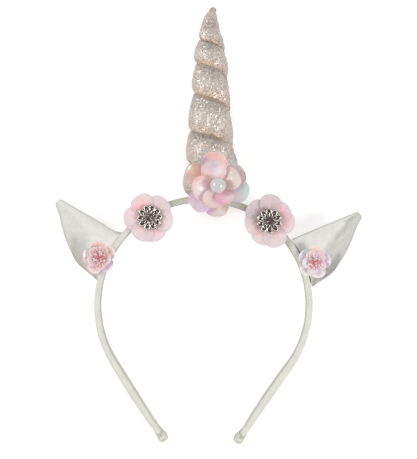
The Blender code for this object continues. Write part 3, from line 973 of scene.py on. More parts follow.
@dataclass
class SatinBand:
    """The satin-covered alice band: a round crown and two straight legs that lean inwards.

    Its widths and painted shade zones stand in tables: (distance from the crown's middle, width) in millimetres,
    and (middle, width, what each colour loses) with the places in degrees round the crown.
    """

    radius: float = 61.0 * MM
    thickness: float = 3.4 * MM
    depth: float = 7.0 * MM
    half_sweep: float = 123.5
    leg_length: float = 43.5 * MM
    crown_steps: int = 150
    leg_steps: int = 34
    section_points: int = 48
    squareness: float = 4.2
    widths: CubicTable = CubicTable(
        (0, 64, 85, 110, 128, 137, 153, 160, 168, 175), (3.9, 3.9, 4.0, 4.15, 4.5, 4.85, 4.9, 4.7, 4.3, 3.9)
    )
    painted_shade_zones: tuple[tuple[float, float, Colour], ...] = (
        (19, 12, (0.22, 0.27, 0.28)),
        (50, 10, (0.20, 0.22, 0.22)),
        (-19, 16, (0.16, 0.17, 0.20)),
    )

    @property
    def outside(self) -> float:
        """The radius of the crown's outer face."""
        return self.radius + self.thickness / 2

    def stations(self) -> list[tuple[Vector, Vector, float]]:
        """List the band's middle line from the left leg's end: (point, outward, distance)."""
        sweep = math.radians(self.half_sweep)
        legs = []
        for side in (-1, 1):
            outward = Vector((side * math.sin(sweep), math.cos(sweep), 0))
            along = Vector((side * math.cos(sweep), -math.sin(sweep), 0))
            steps = [self.leg_length * k / self.leg_steps for k in range(1, self.leg_steps + 1)]
            legs.append([(outward * self.radius + along * s, outward) for s in steps])
        turns = [-sweep + 2 * sweep * i / self.crown_steps for i in range(self.crown_steps + 1)]
        outs = [Vector((math.sin(a), math.cos(a), 0)) for a in turns]
        made = legs[0][::-1] + [(out * self.radius, out) for out in outs] + legs[1]
        distance, rows = 0.0, []
        for k, (point, outward) in enumerate(made):
            if k:
                distance += (point - made[k - 1][0]).length
            rows.append((point, outward, distance))
        return rows

    def ridge(self, turn: float, distance: float) -> float:
        """Give the height of the ribbon's lengthwise overlap and of its soft pleats.

        Args:
            turn: Where on the section, in radians from its outer face.
            distance: How far it is from the left leg's end.

        Returns:
            The height there.
        """
        away = math.degrees(turn) - 110 - 12 * wander(2, distance * 25)
        overlap = 0.16 * bump(away, 7.0) - 0.16 * bump(away - 13, 7.0)
        pleat = 0.05 * math.sin(9 * turn + 3 * wander(6, distance * 18))
        soft = 0.07 * wander(1, distance * 260, math.cos(turn) * 0.8, math.sin(turn) * 0.8)
        return (overlap + pleat + soft) * MM

    def shade(self, turn: float, distance: float, clock: float) -> Colour:
        """Shade the ribbon: painted shade along its edges and in three zones round the crown, darker lines along its
        overlap.

        Args:
            turn: Where on the section, in radians from its outer face.
            distance: How far it is from the left leg's end.
            clock: The station's angle from the crown's middle, in degrees.

        Returns:
            The shade, 1 for plain ribbon.
        """
        # Painted shade along the band's sides, which turn away from the lights.
        edge = clamped((abs(math.cos(turn)) - 0.55) / 0.25)
        away = math.degrees(turn) - 119 - 12 * wander(2, distance * 25)
        line = bump(away, 6.0) * (0.6 + 0.4 * wander(8, distance * 60))
        second = bump(math.degrees(turn) - 74 - 9 * wander(9, distance * 30), 5.0)
        dull = 1 - 0.46 * edge - 0.20 * line - 0.12 * second
        colour = np.array((dull, dull * (1 - 0.03 * edge), dull * (1 - 0.08 * edge)))
        # Painted shade, tinted mauve, in zones round the crown where the band's face turns from the lights.
        for middle, width, shade_loss in self.painted_shade_zones:
            colour *= 1 - np.array(shade_loss) * bump(clock - middle, width)
        return plain(colour)

    def blank(self) -> Blank:
        """Skin the whole covered band."""
        rings, dye = [], []
        rows = self.stations()
        middle = rows[-1][2] / 2
        for point, outward, distance in rows:
            width = self.widths.at(abs(distance - middle) / MM) * MM
            extra = (width - self.thickness) * (0.45 if point.x < 0 else -0.40)
            section = rounded_section(width, self.depth, self.squareness, self.section_points, -extra)
            clock = math.degrees(math.atan2(point.x, point.y))
            ring = []
            for k, (out, front) in enumerate(section):
                turn = 2 * math.pi * k / self.section_points
                push = outward * math.cos(turn) + Vector((0, 0, 1)) * math.sin(turn)
                ring.append(point + outward * out + Vector((0, 0, front)) + push * self.ridge(turn, distance))
                dye.append(self.shade(turn, distance, clock))
            rings.append(ring)
        made = loft(rings)
        made.dye = dye
        return made

    def build(self) -> None:
        """Lay the covered band on the table."""
        finish = SatinRibbon("satin_band", (0.73, 0.725, 0.66))
        lay_piece("satin_band", self.blank(), finish, ["band"], smooth_levels=1)


@dataclass
class RibbonTip:
    """The ribbon folded and stitched round a leg's end.

    Its sections are in millimetres. Each seam starts at (turn on the section, distance along).
    """

    side: Side
    band: SatinBand
    along: tuple[float, ...] = (-2.2, 0.3, 3.0, 5.6, 8.2, 10.2, 11.0, 11.35)
    thickness: tuple[float, ...] = (4.2, 4.0, 3.9, 4.9, 5.8, 4.9, 3.1, 1.5)
    depth: tuple[float, ...] = (7.3, 7.3, 7.6, 8.0, 8.0, 7.2, 5.2, 3.0)
    inward: tuple[float, ...] = (0.0, 0.0, 0.1, 0.2, 0.3, 0.3, 0.3, 0.3)
    squareness: float = 2.7
    seams: tuple[tuple[float, float], ...] = ((0.75, 3.0), (2.4, 3.2), (4.2, 2.6), (5.2, 2.4), (1.57, 5.9))
    steps: int = 34
    section_points: int = 48

    def frame(self) -> tuple[Vector, Vector, Vector]:
        """Give the leg end's point, its way onwards and its way outwards."""
        rows = self.band.stations()
        end, before = (rows[0], rows[1]) if self.side is Side.LEFT else (rows[-1], rows[-2])
        return end[0], (end[0] - before[0]).normalized(), end[1]

    def surface(self, along: float, turn: float) -> Vector:
        """Find a point of the folded ribbon.

        Args:
            along: How far it lies past the band's end, in millimetres.
            turn: Where on the section, in radians from its outer face.

        Returns:
            The point.
        """
        end, onward, outward = self.frame()
        thick = CubicTable(self.along, self.thickness).at(along) * MM
        deep = CubicTable(self.along, self.depth).at(along) * MM
        shift = CubicTable(self.along, self.inward).at(along) * MM
        c, s = math.cos(turn), math.sin(turn)
        out = powered(c, 2 / self.squareness) * thick / 2 - shift
        front = powered(s, 2 / self.squareness) * deep / 2
        fullness = clamped((along - 1.0) / 5.0)
        gather = 0.10 * MM * fullness * math.sin(7 * turn + 0.5 * along) * (0.6 + 0.4 * math.sin(3 * turn))
        fold = 0.22 * MM * bump(along - 3.4 - 1.3 * math.sin(turn), 0.6)
        dimple = -0.55 * MM * math.exp(-(((along - 6.6) / 0.8) ** 2) - ((c / 0.28) ** 2)) * (s > 0)
        push = outward * c + Vector((0, 0, 1)) * s
        lift = push * (gather + fold + dimple)
        return end + onward * along * MM + outward * out + Vector((0, 0, front)) + lift

    def shade(self, along: float, turn: float) -> Colour:
        """Paint shade on the ribbon: along its edges, in its fold and hem lines and in the stitch's dimple.

        Args:
            along: How far it lies past the band's end, in millimetres.
            turn: Where on the section, in radians from its outer face.

        Returns:
            The shade, 1 for plain ribbon.
        """
        c, s = abs(math.cos(turn)), math.sin(turn)
        # Painted shade on the sides, the fold, the hem lines and the stitch's dimple.
        edge = clamped((c - 0.66) / 0.25)
        fold = bump(along - 4.1 - 1.3 * s, 0.40)
        hem = bump(c - 0.50, 0.10) * (4.5 < along < 9.4)
        round_hem = bump(along - 9.6, 0.45) * (c < 0.55)
        dimple = math.exp(-(((along - 6.6) / 0.7) ** 2) - ((c / 0.25) ** 2))
        dull = 1 - 0.46 * edge - 0.34 * fold - 0.30 * hem - 0.30 * round_hem - 0.55 * dimple
        return (dull, dull * (1 - 0.02 * edge), dull * (1 - 0.05 * edge - 0.05 * fold))

    def blank(self) -> Blank:
        """Skin the folded ribbon."""
        low, high = self.along[0], self.along[-1]
        turns = [2 * math.pi * i / self.section_points for i in range(self.section_points)]
        if self.side is Side.LEFT:
            turns = turns[::-1]
        places = [low + (high - low) * (1 - (1 - k / self.steps) ** 1.5) for k in range(self.steps + 1)]
        made = loft([[self.surface(at, t) for t in turns] for at in places])
        made.dye = [self.shade(at, t) for at in places for t in turns]
        return made

    def stitches(self) -> Blank:
        """Sew the fold down with a few short stitches."""
        made = Blank()
        for turn, at in self.seams:
            path = []
            for k in range(7):
                u = k / 6
                point = self.surface(at + 1.7 * u, turn + 0.12 * u)
                lift = 0.16 * MM * math.sin(math.pi * u) - 0.05 * MM
                centre = self.surface(at + 1.7 * u, turn + math.pi)
                path.append(point + (point - centre).normalized() * lift)
            made.add(tube(path, 0.13 * MM, 7))
        return made

    def build(self) -> None:
        """Lay the tip and its stitches on the table."""
        word = self.side.word
        lay_piece(
            f"ribbon_tip_{word}", self.blank(), SatinRibbon(), [f"tip_wrap_{word}"], smooth_levels=1
        )
        lay_piece(f"tip_stitches_{word}", self.stitches(), SewingThread())


@dataclass
class GlitterHorn:
    """The stuffed glitter-cloth horn, wound by one thread that pulls a crease into it at each turn.

    Its tables are in millimetres, its lean is in degrees, and its puff is how much narrower it is in a
    crease. The cloth run works on an enlarged copy.
    """

    base: float
    side: float = 2.8 * MM
    lean: float = -1.7
    puff: float = 0.18
    curl: float = 1.4 * MM
    curl_length: float = 7.0 * MM
    fade: float = 6.0 * MM
    foot_height: float = 8.0 * MM
    clearance: float = 0.05 * MM
    cloth_scale: float = 10.0
    cloth_frames: int = 18
    most_swell: float = 0.9 * MM
    sides: int = 96
    rows_a_turn: int = 20
    heights: tuple[float, ...] = (0.0, 3.0, 8.0, 24.5, 46.0, 65.0, 82.0, 90.0, 99.0, 104.0, 107.0, 109.0)
    radii: tuple[float, ...] = (13.2, 15.0, 15.7, 14.3, 12.5, 10.5, 9.1, 7.4, 5.1, 3.6, 2.1, 1.2)
    crease_turns: tuple[float, ...] = (-1.0, 0.0, 1.0, 2.0, 3.0, 4.0, 5.0, 6.0)
    crease_heights: tuple[float, ...] = (-0.6, 18.8, 38.1, 59.8, 76.9, 90.7, 102.3, 111.0)

    @property
    def top(self) -> float:
        """The horn's height."""
        return self.heights[-1] * MM

    def height_at(self, turns: float) -> float:
        """Give the height that the winding has reached on the left side after so many turns."""
        height = CubicTable(self.crease_turns, self.crease_heights).at(turns) * MM
        return min(max(height, 0.0), self.top)

    def bulge(self, phase: float) -> float:
        """Give the cloth's fullness between two creases.

        Args:
            phase: Where it is, from 0 at the lower crease to 1 at the upper one.

        Returns:
            0 in a crease to 1 at the fullest.
        """
        share = phase - math.floor(phase)
        return math.sin(math.pi * share**0.80) ** 0.62 if 0.0 < share < 1.0 else 0.0

    def skin(self, height: float, angle: float, phase: float, share: float = 1.0) -> Vector:
        """Find a point of the horn's skin.

        Args:
            height: How far it is above the band.
            angle: Where it is round the horn, in radians from its right side.
            phase: How many turns of thread lie below it.
            share: Its distance from the horn's middle line, 1 at the skin.

        Returns:
            The point.
        """
        radius = CubicTable(self.heights, self.radii).at(height / MM) * MM
        fade = min(1.0, max(0.25, (self.top - height - 6.0 * MM) / self.fade), (self.top - height) / self.fade)
        full = self.bulge(phase)
        near = min(phase - math.floor(phase), math.ceil(phase) - phase) * 2
        pucker = wander(3, math.cos(angle) * 5.5, math.sin(angle) * 5.5, phase * 1.3)
        reach = radius * (1 - fade * self.puff * (1 - full))
        reach += fade * 0.42 * MM * pucker * bump(near, 0.42) * min(1.0, near / 0.10)
        reach += fade * 0.30 * MM * wander(4, math.cos(angle) * 1.6, math.sin(angle) * 1.6, height * 120)
        reach -= fade * 0.35 * MM * bump(near, 0.09)
        reach *= share
        bend = self.curl * max(0.0, 1 - (self.top - height) / self.curl_length)
        x = self.side + height * math.tan(math.radians(self.lean)) + bend + reach * math.cos(angle)
        z = reach * math.sin(angle)
        sag = self.base - math.sqrt(self.base**2 - x**2)
        y = self.base + height - sag * max(0.0, 1 - height / self.foot_height)
        return Vector((x, y, z))

    def tint(self, phase: float, angle: float) -> Colour:
        """Mix the cloth's colour at a point: its dye, with painted light and shade.

        Args:
            phase: How many turns of thread lie below it.
            angle: Where it is round the horn, in radians from its right side.

        Returns:
            The colour in linear light.
        """
        share = phase - math.floor(phase)
        near_tip = clamped((phase + (angle - math.pi) / (2 * math.pi) - 4.35) / 0.3)
        front = max(0.0, math.sin(angle)) ** 2
        cloudy = wander(5, math.cos(angle) * 2.2, math.sin(angle) * 2.2, phase * 2.5)
        colour = np.array((0.50, 0.445, 0.40))
        # An orange band above each crease, stronger in front; a painted highlight across each bulge's middle, strongest
        # in front; painted shade just below each crease.
        patches = (
            ((0.64, 0.44, 0.28), 0.10, 0.14, (0.25 + 0.45 * front + 0.25 * cloudy) * (1 - near_tip)),
            ((0.78, 0.73, 0.69), 0.46 + 0.08 * cloudy, 0.20, 0.70 * front + 0.1),
            ((0.35, 0.355, 0.34), 0.88, 0.12, (0.62 + 0.2 * cloudy) * (1 - near_tip)),
        )
        for dye, middle, width, strength in patches:
            part = strength * bump(share - middle, width)
            colour = colour * (1 - part) + np.array(dye) * part
        # Painted shade in each crease.
        line = (0.55 + 0.2 * cloudy) * bump(min(share, 1 - share), 0.04) * (1 - near_tip)
        colour = colour * (1 - line) + np.array((0.17, 0.115, 0.08)) * line
        # Painted light: brighter where the horn faces the viewer.
        colour = colour * (0.86 + 0.14 * front) * (1 + 0.10 * cloudy)
        return plain(colour)

    def blank(self) -> tuple[Blank, list[float]]:
        """Skin the horn with rows that follow the winding.

        Returns:
            The skin, and how hard the thread holds each point, from 0 to 1.
        """
        sides, per_turn = self.sides, self.rows_a_turn
        first, last = math.floor(-1.6 * per_turn), math.ceil(6.4 * per_turn)
        points, held, lay, dye = [], [], [], []
        for row in range(first, last + 1):
            for i in range(sides + 1):
                angle = 2 * math.pi * i / sides
                turns = row / per_turn + (angle - math.pi) / (2 * math.pi)
                height = self.height_at(turns)
                points.append(self.skin(height, angle, row / per_turn))
                ends = height <= 0.5 * MM or height >= self.top - 4.0 * MM
                held.append(1.0 if row % per_turn == 0 or ends else 0.0)
                lay.append((height, angle * 10 * MM))
                dye.append(self.tint(row / per_turn, angle))
        faces = [face[::-1] for face in grid_faces(last - first + 1, sides + 1)]
        return Blank(points, faces, lay, dye), held

    def closed(self, skin: Blank, held: list[float]) -> tuple[bpy.types.Mesh, list[float], list]:
        """Sew the skin's edges together and close its foot and its tip.

        Args:
            skin: The skin's points and faces.
            held: How hard each point is held.

        Returns:
            A closed mesh in the headband's own frame, in one fixed order, and its points' holds and dyes.
        """
        mesh = bpy.data.meshes.new("horn_skin")
        mesh.from_pydata(skin.points, [], skin.faces)
        form = bmesh.new()
        form.from_mesh(mesh)
        hold = form.verts.layers.float.new("hold")
        dye = form.verts.layers.float_vector.new("dye")
        for vert, value, colour in zip(form.verts, held, skin.dye):
            vert[hold] = value
            vert[dye] = Vector(colour)
        bmesh.ops.remove_doubles(form, verts=form.verts, dist=0.004 * MM)
        bmesh.ops.dissolve_degenerate(form, dist=0.004 * MM, edges=form.edges)
        for _ in range(2):
            rim = [e for e in form.edges if e.is_boundary]
            foot = [e for e in rim if max(v.co.y for v in e.verts) < self.base + self.top / 2]
            tip = [e for e in rim if e not in foot]
            for loop, shares in ((foot, (0.8, 0.55, 0.25)), (tip, (0.8, 0.4))):
                if loop:
                    self.close_loop(form, loop, shares, hold)
        bmesh.ops.recalc_face_normals(form, faces=form.faces)
        verts = sorted(form.verts, key=lambda v: tuple(v.co))
        for number, vert in enumerate(verts):
            vert.index = number
        points = [v.co.copy() for v in verts]
        corners = [[v.index for v in face.verts] for face in form.faces]
        starts = [ring.index(min(ring)) for ring in corners]
        faces = sorted(ring[start:] + ring[:start] for ring, start in zip(corners, starts))
        holds = [v[hold] for v in verts]
        dyes = [tuple(v[dye]) for v in verts]
        form.free()
        mesh.clear_geometry()
        mesh.from_pydata(points, [], faces)
        return mesh, holds, dyes

    def close_loop(self, form, loop: list, shares: Sequence[float], hold) -> None:
        """Close a round edge with shrinking rings.

        Args:
            form: The bmesh that is worked on.
            loop: Its edges.
            shares: Each new ring's size as a share of the edge.
            hold: The layer that keeps the points' holds.
        """
        ends = [v.co for e in loop for v in e.verts]
        middle = Vector([math.fsum(p[axis] for p in ends) / len(ends) for axis in range(3)])
        size = 1.0
        for share in shares:
            made = bmesh.ops.extrude_edge_only(form, edges=loop)["geom"]
            verts = [g for g in made if isinstance(g, bmesh.types.BMVert)]
            for v in verts:
                near = middle + (v.co - middle) * (share / size)
                sag = self.base - math.sqrt(max(self.base**2 - near.x**2, 0.0))
                if middle.y < self.base + self.top / 2:
                    near.y = self.base - sag
                else:
                    near.y += 0.35 * MM * (1 - share) / (1 - shares[-1])
                v.co = near
                v[hold] = 1.0
            loop = [g for g in made if isinstance(g, bmesh.types.BMEdge)]
            size = share
        bmesh.ops.contextual_create(form, geom=loop)

    def stuffed(self, mesh: bpy.types.Mesh, holds: list[float]) -> None:
        """Let the cloth swell between the turns of thread, as stuffing makes it.

        Args:
            mesh: The closed skin, which takes the swollen shape.
            holds: How hard each point is held.
        """
        start = np.empty(len(mesh.vertices) * 3)
        mesh.vertices.foreach_get("co", start)
        start = start.reshape(-1, 3)
        trial = mesh.copy()
        trial.vertices.foreach_set("co", (start * self.cloth_scale).ravel())
        bag = bpy.data.objects.new("stuffing", trial)
        bpy.context.scene.collection.objects.link(bag)
        group = bag.vertex_groups.new(name="thread")
        for number, value in enumerate(holds):
            if value > 0:
                group.add([number], value, "REPLACE")
        cloth = bag.modifiers.new("cloth", "CLOTH")
        set_up = cloth.settings
        set_up.quality = 6
        set_up.mass = 0.15
        set_up.use_pressure = True
        set_up.uniform_pressure_force = 3.0
        set_up.tension_stiffness = set_up.compression_stiffness = 12.0
        set_up.shear_stiffness = 5.0
        set_up.bending_stiffness = 0.3
        set_up.shrink_min = -0.05
        set_up.vertex_group_mass = "thread"
        set_up.effector_weights.gravity = 0.0
        cloth.collision_settings.use_self_collision = False
        cloth.point_cache.frame_start, cloth.point_cache.frame_end = 1, self.cloth_frames
        scene = bpy.context.scene
        for number in range(1, self.cloth_frames + 1):
            scene.frame_set(number)
        shown = bag.evaluated_get(bpy.context.evaluated_depsgraph_get())
        end = np.empty(len(mesh.vertices) * 3)
        shown.data.vertices.foreach_get("co", end)
        moved = end.reshape(-1, 3) / self.cloth_scale - start
        length = np.linalg.norm(moved, axis=1, keepdims=True)
        LOG.info("the stuffing swells the horn by up to %.2f mm", float(length.max()) / MM)
        moved *= np.minimum(1.0, self.most_swell / np.maximum(length, 1e-9))
        mesh.vertices.foreach_set("co", (start + moved).ravel())
        bpy.data.objects.remove(bag)
        scene.frame_set(1)

    def thread(self) -> Blank:
        """Wind the thread from the band to the tip along the creases."""
        path = []
        steps = 96
        for k in range(int(-0.93 * steps), int(5.6 * steps)):
            turns = k / steps
            angle = math.pi + 2 * math.pi * turns
            height = self.height_at(turns)
            path.append(self.skin(height, angle, 0.0, 0.992))
        return tube(path, 0.2 * MM, 6)

    def knot(self) -> Blank:
        """Twist the cloth's end into a small hook that leans to the right."""
        tip = self.skin(self.top, 0.0, 0.0, 0.0)
        bends = ((-0.5, -3.6), (-0.45, -2.4), (-0.15, -1.3), (0.45, -0.75), (1.05, -1.0), (1.35, -1.7), (1.2, -2.3))
        path = []
        for k in range(25):
            t = k / 24 * (len(bends) - 1)
            table = CubicTable(tuple(float(i) for i in range(len(bends))), tuple(np.array(b) for b in bends))
            x, y = table.at(t)
            path.append(tip + Vector((x, y, 0.25 * math.sin(t))) * MM)
        made = tube(path, lambda t: (1.15 - 0.15 * t + 0.10 * math.sin(9 * t)) * MM * min(1.0, 0.4 + 4 * (1 - t)), 14)
        made.dye = [self.tint(0.15 + 0.4 * i / len(made.points), math.pi / 3) for i in range(len(made.points))]
        return made

    def build(self) -> None:
        """Stuff the horn, wind it and lay it on the table."""
        skin, held = self.blank()
        mesh, holds, dyes = self.closed(skin, held)
        self.stuffed(mesh, holds)
        points = [off_table(v.co, self.clearance) for v in mesh.vertices]
        faces = [tuple(p.vertices) for p in mesh.polygons]
        horn = lay_piece(
            "glitter_horn", Blank(points, faces, [], dyes), GlitterCloth(), ["horn"], sharp=180,
            smooth_levels=1,
        )
        lay_piece("horn_thread", self.thread(), SewingThread("silver_thread", (0.40, 0.32, 0.25)))
        lay_piece("horn_tip_knot", self.knot(), GlitterCloth(), smooth_levels=1)


RIGHT_CREASES = (-0.70, -0.68, -0.58, -0.25, 0.60, 0.80, 0.80, 0.80)


@dataclass
class FeltEar:
    """A cupped ear of two layers of felt, its foot glued along the band's outer face.

    Its foot and its axis are in degrees from the crown's middle, its sections in millimetres from the
    foot up. A crease lies between 1 at the upper edge and -1 at the lower one; fold is 0 for a round cup.
    """

    side: Side
    band: SatinBand
    foot: tuple[float, float]
    axis: float
    shift: float
    wall: float = 1.5 * MM
    clearance: float = 0.4 * MM
    foot_gap: float = 0.25 * MM
    foot_depth: float = 3.4 * MM
    rim_height: float = 1.0 * MM
    heights: tuple[float, ...] = (0.0, 7.4, 15.0, 22.5, 29.0, 35.0, 39.0, 41.5, 42.2)
    half_widths: tuple[float, ...] = (14.0, 12.0, 9.6, 7.0, 4.4, 2.8, 1.9, 0.9)
    shifts: tuple[float, ...] = (-1.2, -1.5, -1.5, -1.0, -0.3, -0.1, 0.0, 0.0)
    cups: tuple[float, ...] = (9.4, 12.6, 11.4, 8.6, 5.6, 3.6, 2.2, 1.4)
    creases: tuple[float, ...] = (-0.50, -0.45, -0.25, 0.10, 0.45, 0.60, 0.60, 0.60)
    fold: float = 0.2
    shadow: float = 0.34
    lit: float = 0.25
    rim: tuple[tuple[float, float], ...] = (
        (25, 0.95), (50, 0.95), (72, 0.92), (84, 0.80), (90, 0.62), (96, 0.80), (108, 0.92), (130, 0.95), (155, 0.95)
    )
    rows: int = 64
    columns: int = 44

    def outline_point(self, angle: float, z: float) -> Vector:
        """Give a point on the band's outer face, a little off it."""
        turn = math.radians(angle)
        radius = self.band.outside + self.foot_gap
        return Vector((self.side.value * radius * math.sin(turn), radius * math.cos(turn), z))

    def section_points(self, row: int) -> np.ndarray:
        """List one section's points from the ear's upper edge to its lower one.

        Args:
            row: 0 for the foot on the band, then one for each section.

        Returns:
            The points, one a row.
        """
        made = []
        low, high = self.foot
        tip = math.radians(self.axis)
        along = Vector((math.sin(tip), math.cos(tip), 0))
        sideways = Vector((-math.cos(tip), math.sin(tip), 0))
        middle = math.radians((low + high) / 2)
        radius = self.band.outside + self.foot_gap
        foot = Vector((radius * math.sin(middle), radius * math.cos(middle), 0))
        for c in range(self.columns + 1):
            across = c / self.columns
            turn = math.pi * across
            if row == 0:
                angle = low + (high - low) * (1 - math.cos(turn)) / 2
                made.append(self.outline_point(angle, self.rim_height - self.foot_depth * math.sin(turn)))
                continue
            k = row - 1
            reach = (self.shifts[k] * MM + self.shift) + self.half_widths[k] * MM * math.cos(turn)
            point = foot + along * self.heights[row] * MM + sideways * reach
            z = self.rim_height - self.cups[k] * MM * self.hollow(turn, self.creases[k])
            spot = Vector((self.side.value * point.x, point.y, z))
            made.append(off_table(spot, self.wall / 2 + self.clearance))
        return np.array([p[:] for p in made])

    def hollow(self, turn: float, crease: float) -> float:
        """Give the hollow's depth across the ear: a round cup with a fold pressed into it.

        Args:
            turn: 0 at the upper edge to pi at the lower one.
            crease: Where the fold is, from 1 at the upper edge to -1 at the lower one.

        Returns:
            The depth as a share of the deepest.
        """
        across = math.cos(turn)
        tent = (1 - across) / (1 - crease) if across > crease else (1 + across) / (1 + crease)
        return (1 - self.fold) * math.sin(turn) + self.fold * tent

    def shade(self, height: float, across: float, rim: bool) -> Colour:
        """Shade the felt: grey along its cut edge, painted shade past the fold and painted light in the hollow.

        Args:
            height: How far it is above the foot, in millimetres.
            across: From 1 at the upper edge to -1 at the lower one.
            rim: Whether it is on the cut edge.

        Returns:
            The shade, 1 for plain felt.
        """
        crease = CubicTable(self.heights[1:], self.creases).at(height)
        # Painted shade on the part past the fold.
        past = 1 / (1 + math.exp((across - crease) / 0.06))
        dull = 1 - self.shadow * self.fold * past - 0.03 * self.fold * bump(across - crease, 0.05)
        edge = 0.30 if rim else 0.14 * math.exp(-((1 - abs(across)) / 0.015))
        # Painted light: the hollow near the foot is lightened.
        lit = math.exp(-(((across + 0.45) / 0.45) ** 2) - ((height - 11) / 10) ** 2)
        dull *= 1 + self.lit * (1 - self.fold) * lit
        dull *= 1 - edge
        return (dull, dull, dull * (1 - 0.1 * edge))

    def sheet(self) -> np.ndarray:
        """Draw the felt's middle surface.

        Returns:
            Points by row from the foot up and by column across, each (x, y, z).
        """
        table = CubicTable(self.heights, tuple(self.section_points(k) for k in range(len(self.heights))))
        top = self.heights[-1]
        rows = []
        for r in range(self.rows + 1):
            share = r / self.rows
            rows.append(table.at(top * (1 - (1 - share) ** 1.25)))
        grid = np.array(rows)
        for r in range(self.rows + 1):
            for c in range(self.columns + 1):
                x, y, z = grid[r, c]
                soft = 0.30 * wander(7 + self.side.value, x * 90, y * 90, z * 60)
                soft += 0.12 * wander(9 + self.side.value, x * 260, y * 260, z * 200)
                grid[r, c, 2] += soft * MM * min(1.0, r / 6)
        return grid

    def blank(self, grid: np.ndarray) -> Blank:
        """Give the sheet its two layers and its sewn rim.

        Args:
            grid: The middle surface.

        Returns:
            The solid ear.
        """
        up = np.gradient(grid, axis=0)
        over = np.gradient(grid, axis=1)
        normal = np.cross(up, over) * -self.side.value
        normal /= np.maximum(np.linalg.norm(normal, axis=2, keepdims=True), 1e-12)
        over /= np.maximum(np.linalg.norm(over, axis=2, keepdims=True), 1e-12)
        half, rim, width = self.wall / 2, self.rim, self.columns + 1
        rings, dye = [], []
        for r in range(self.rows + 1):
            thin = half * min(1.0, 0.45 + 0.55 * (self.rows - r) / 5)
            p, n, e = grid[r], normal[r], over[r]
            thick = [thin * (0.5 + 0.5 * min(1.0, min(c, self.columns - c) / 5)) for c in range(self.columns + 1)]
            ring = []
            for end, sign, columns in ((-1, 1, range(width)), (0, -1, range(self.columns, -1, -1))):
                ring += [p[c] + sign * n[c] * thick[c] for c in columns]
                for angle, reach in rim:
                    out, over_edge = sign * n[end] * thick[0], sign * e[end] * thick[0]
                    a = math.radians(angle)
                    ring.append(p[end] + out * math.cos(a) + over_edge * math.sin(a) * reach)
            rings.append([Vector(q) for q in ring])
            height = self.heights[-1] * (1 - (1 - r / self.rows) ** 1.25)
            flat = [self.shade(height, math.cos(math.pi * c / self.columns), False) for c in range(self.columns + 1)]
            hem = [self.shade(height, 1.0, True)] * len(rim)
            dye += flat + hem + flat[::-1] + hem
        made = loft(rings, closed_ends=False)
        made.dye = dye
        count = len(rings[0])
        for start, flip in ((0, True), (self.rows * count, False)):
            for c in range(self.columns):
                a, b = start + c, start + c + 1
                d, e = start + count - len(rim) - 1 - c, start + count - len(rim) - 2 - c
                made.faces.append((a, b, e, d) if flip else (d, e, b, a))
            right = tuple(start + self.columns + k for k in range(len(rim) + 2))
            left = tuple(start + (2 * width + len(rim) - 1 + k) % count for k in range(len(rim) + 2))
            for cap in (right, left):
                made.faces.append(cap if flip else cap[::-1])
        if self.side is Side.LEFT:
            made.flipped()
        return made

    def build(self) -> None:
        """Cut, fold and lay the ear on the table."""
        word = self.side.word
        grid = self.sheet()
        ear = lay_piece(f"felt_ear_{word}", self.blank(grid), WhiteFelt(), [f"ear_{word}"], sharp=180)


class Dye(Enum):
    """The soft dyes of the films and beads, as they look on a screen."""

    SHELL = (248, 228, 226)
    BLUSH = (246, 216, 216)
    CORAL = (234, 186, 181)
    ROSE = (240, 195, 206)
    MAGENTA = (228, 176, 214)
    LILAC = (222, 205, 226)
    DOVE = (213, 204, 210)
    SAND = (233, 219, 208)
    OCHRE = (228, 194, 172)
    MAUVE = (214, 200, 198)
    MINT = (212, 255, 252)
    # Milk-white also paints highlights on the rose's petals and the sequins' rims.
    MILK = (250, 244, 246)
    FROST = (215, 204, 207)
    RIM = (208, 198, 203)
    PEACH = (250, 216, 200)
    SKY = (222, 230, 244)
    CORE = (234, 208, 208)
    FLUSH = (246, 185, 184)
    BERRY = (238, 142, 154)
    WINE = (208, 88, 104)

    @property
    def light(self) -> np.ndarray:
        """The dye in linear light."""
        return (np.array(self.value) / 255.0) ** 2.2


@dataclass(frozen=True)
class Wash:
    """A soft patch of dye on a petal; a milk-white wash is a painted highlight.

    Attributes:
        dye: Its colour.
        along: Its middle, from 0 at the petal's foot to 1 at its tip.
        across: Its middle, from -1 at the petal's right edge to 1 at its left edge.
        size: How far it spreads along the petal.
        width: How far it spreads across it.
        strength: How strong it is in the middle.
    """

    dye: Dye
    along: float
    across: float
    size: float = 0.35
    width: float = 0.6
    strength: float = 1.0

    def on(self, colour: np.ndarray, along: float, across: float) -> np.ndarray:
        """Lay the wash over a colour at a place."""
        away = ((along - self.along) / self.size) ** 2 + ((across - self.across) / self.width) ** 2
        share = self.strength * math.exp(-away)
        return colour * (1 - share) + self.dye.light * share


@dataclass(frozen=True)
class Petal:
    """One thin pressed petal.

    Attributes:
        angle: Where it points, in degrees.
        reach: How far its tip is from the flower's middle, in millimetres.
        half_width: Half its width, in millimetres.
        lift: How high its foot is, in millimetres.
        rise: How far its tip rises above its foot, in millimetres.
        twist: How much it leans sideways.
        base: Its dye.
        washes: The patches of dye on it.
    """

    angle: float
    reach: float
    half_width: float
    lift: float
    rise: float
    twist: float
    base: Dye
    washes: tuple[Wash, ...] = ()


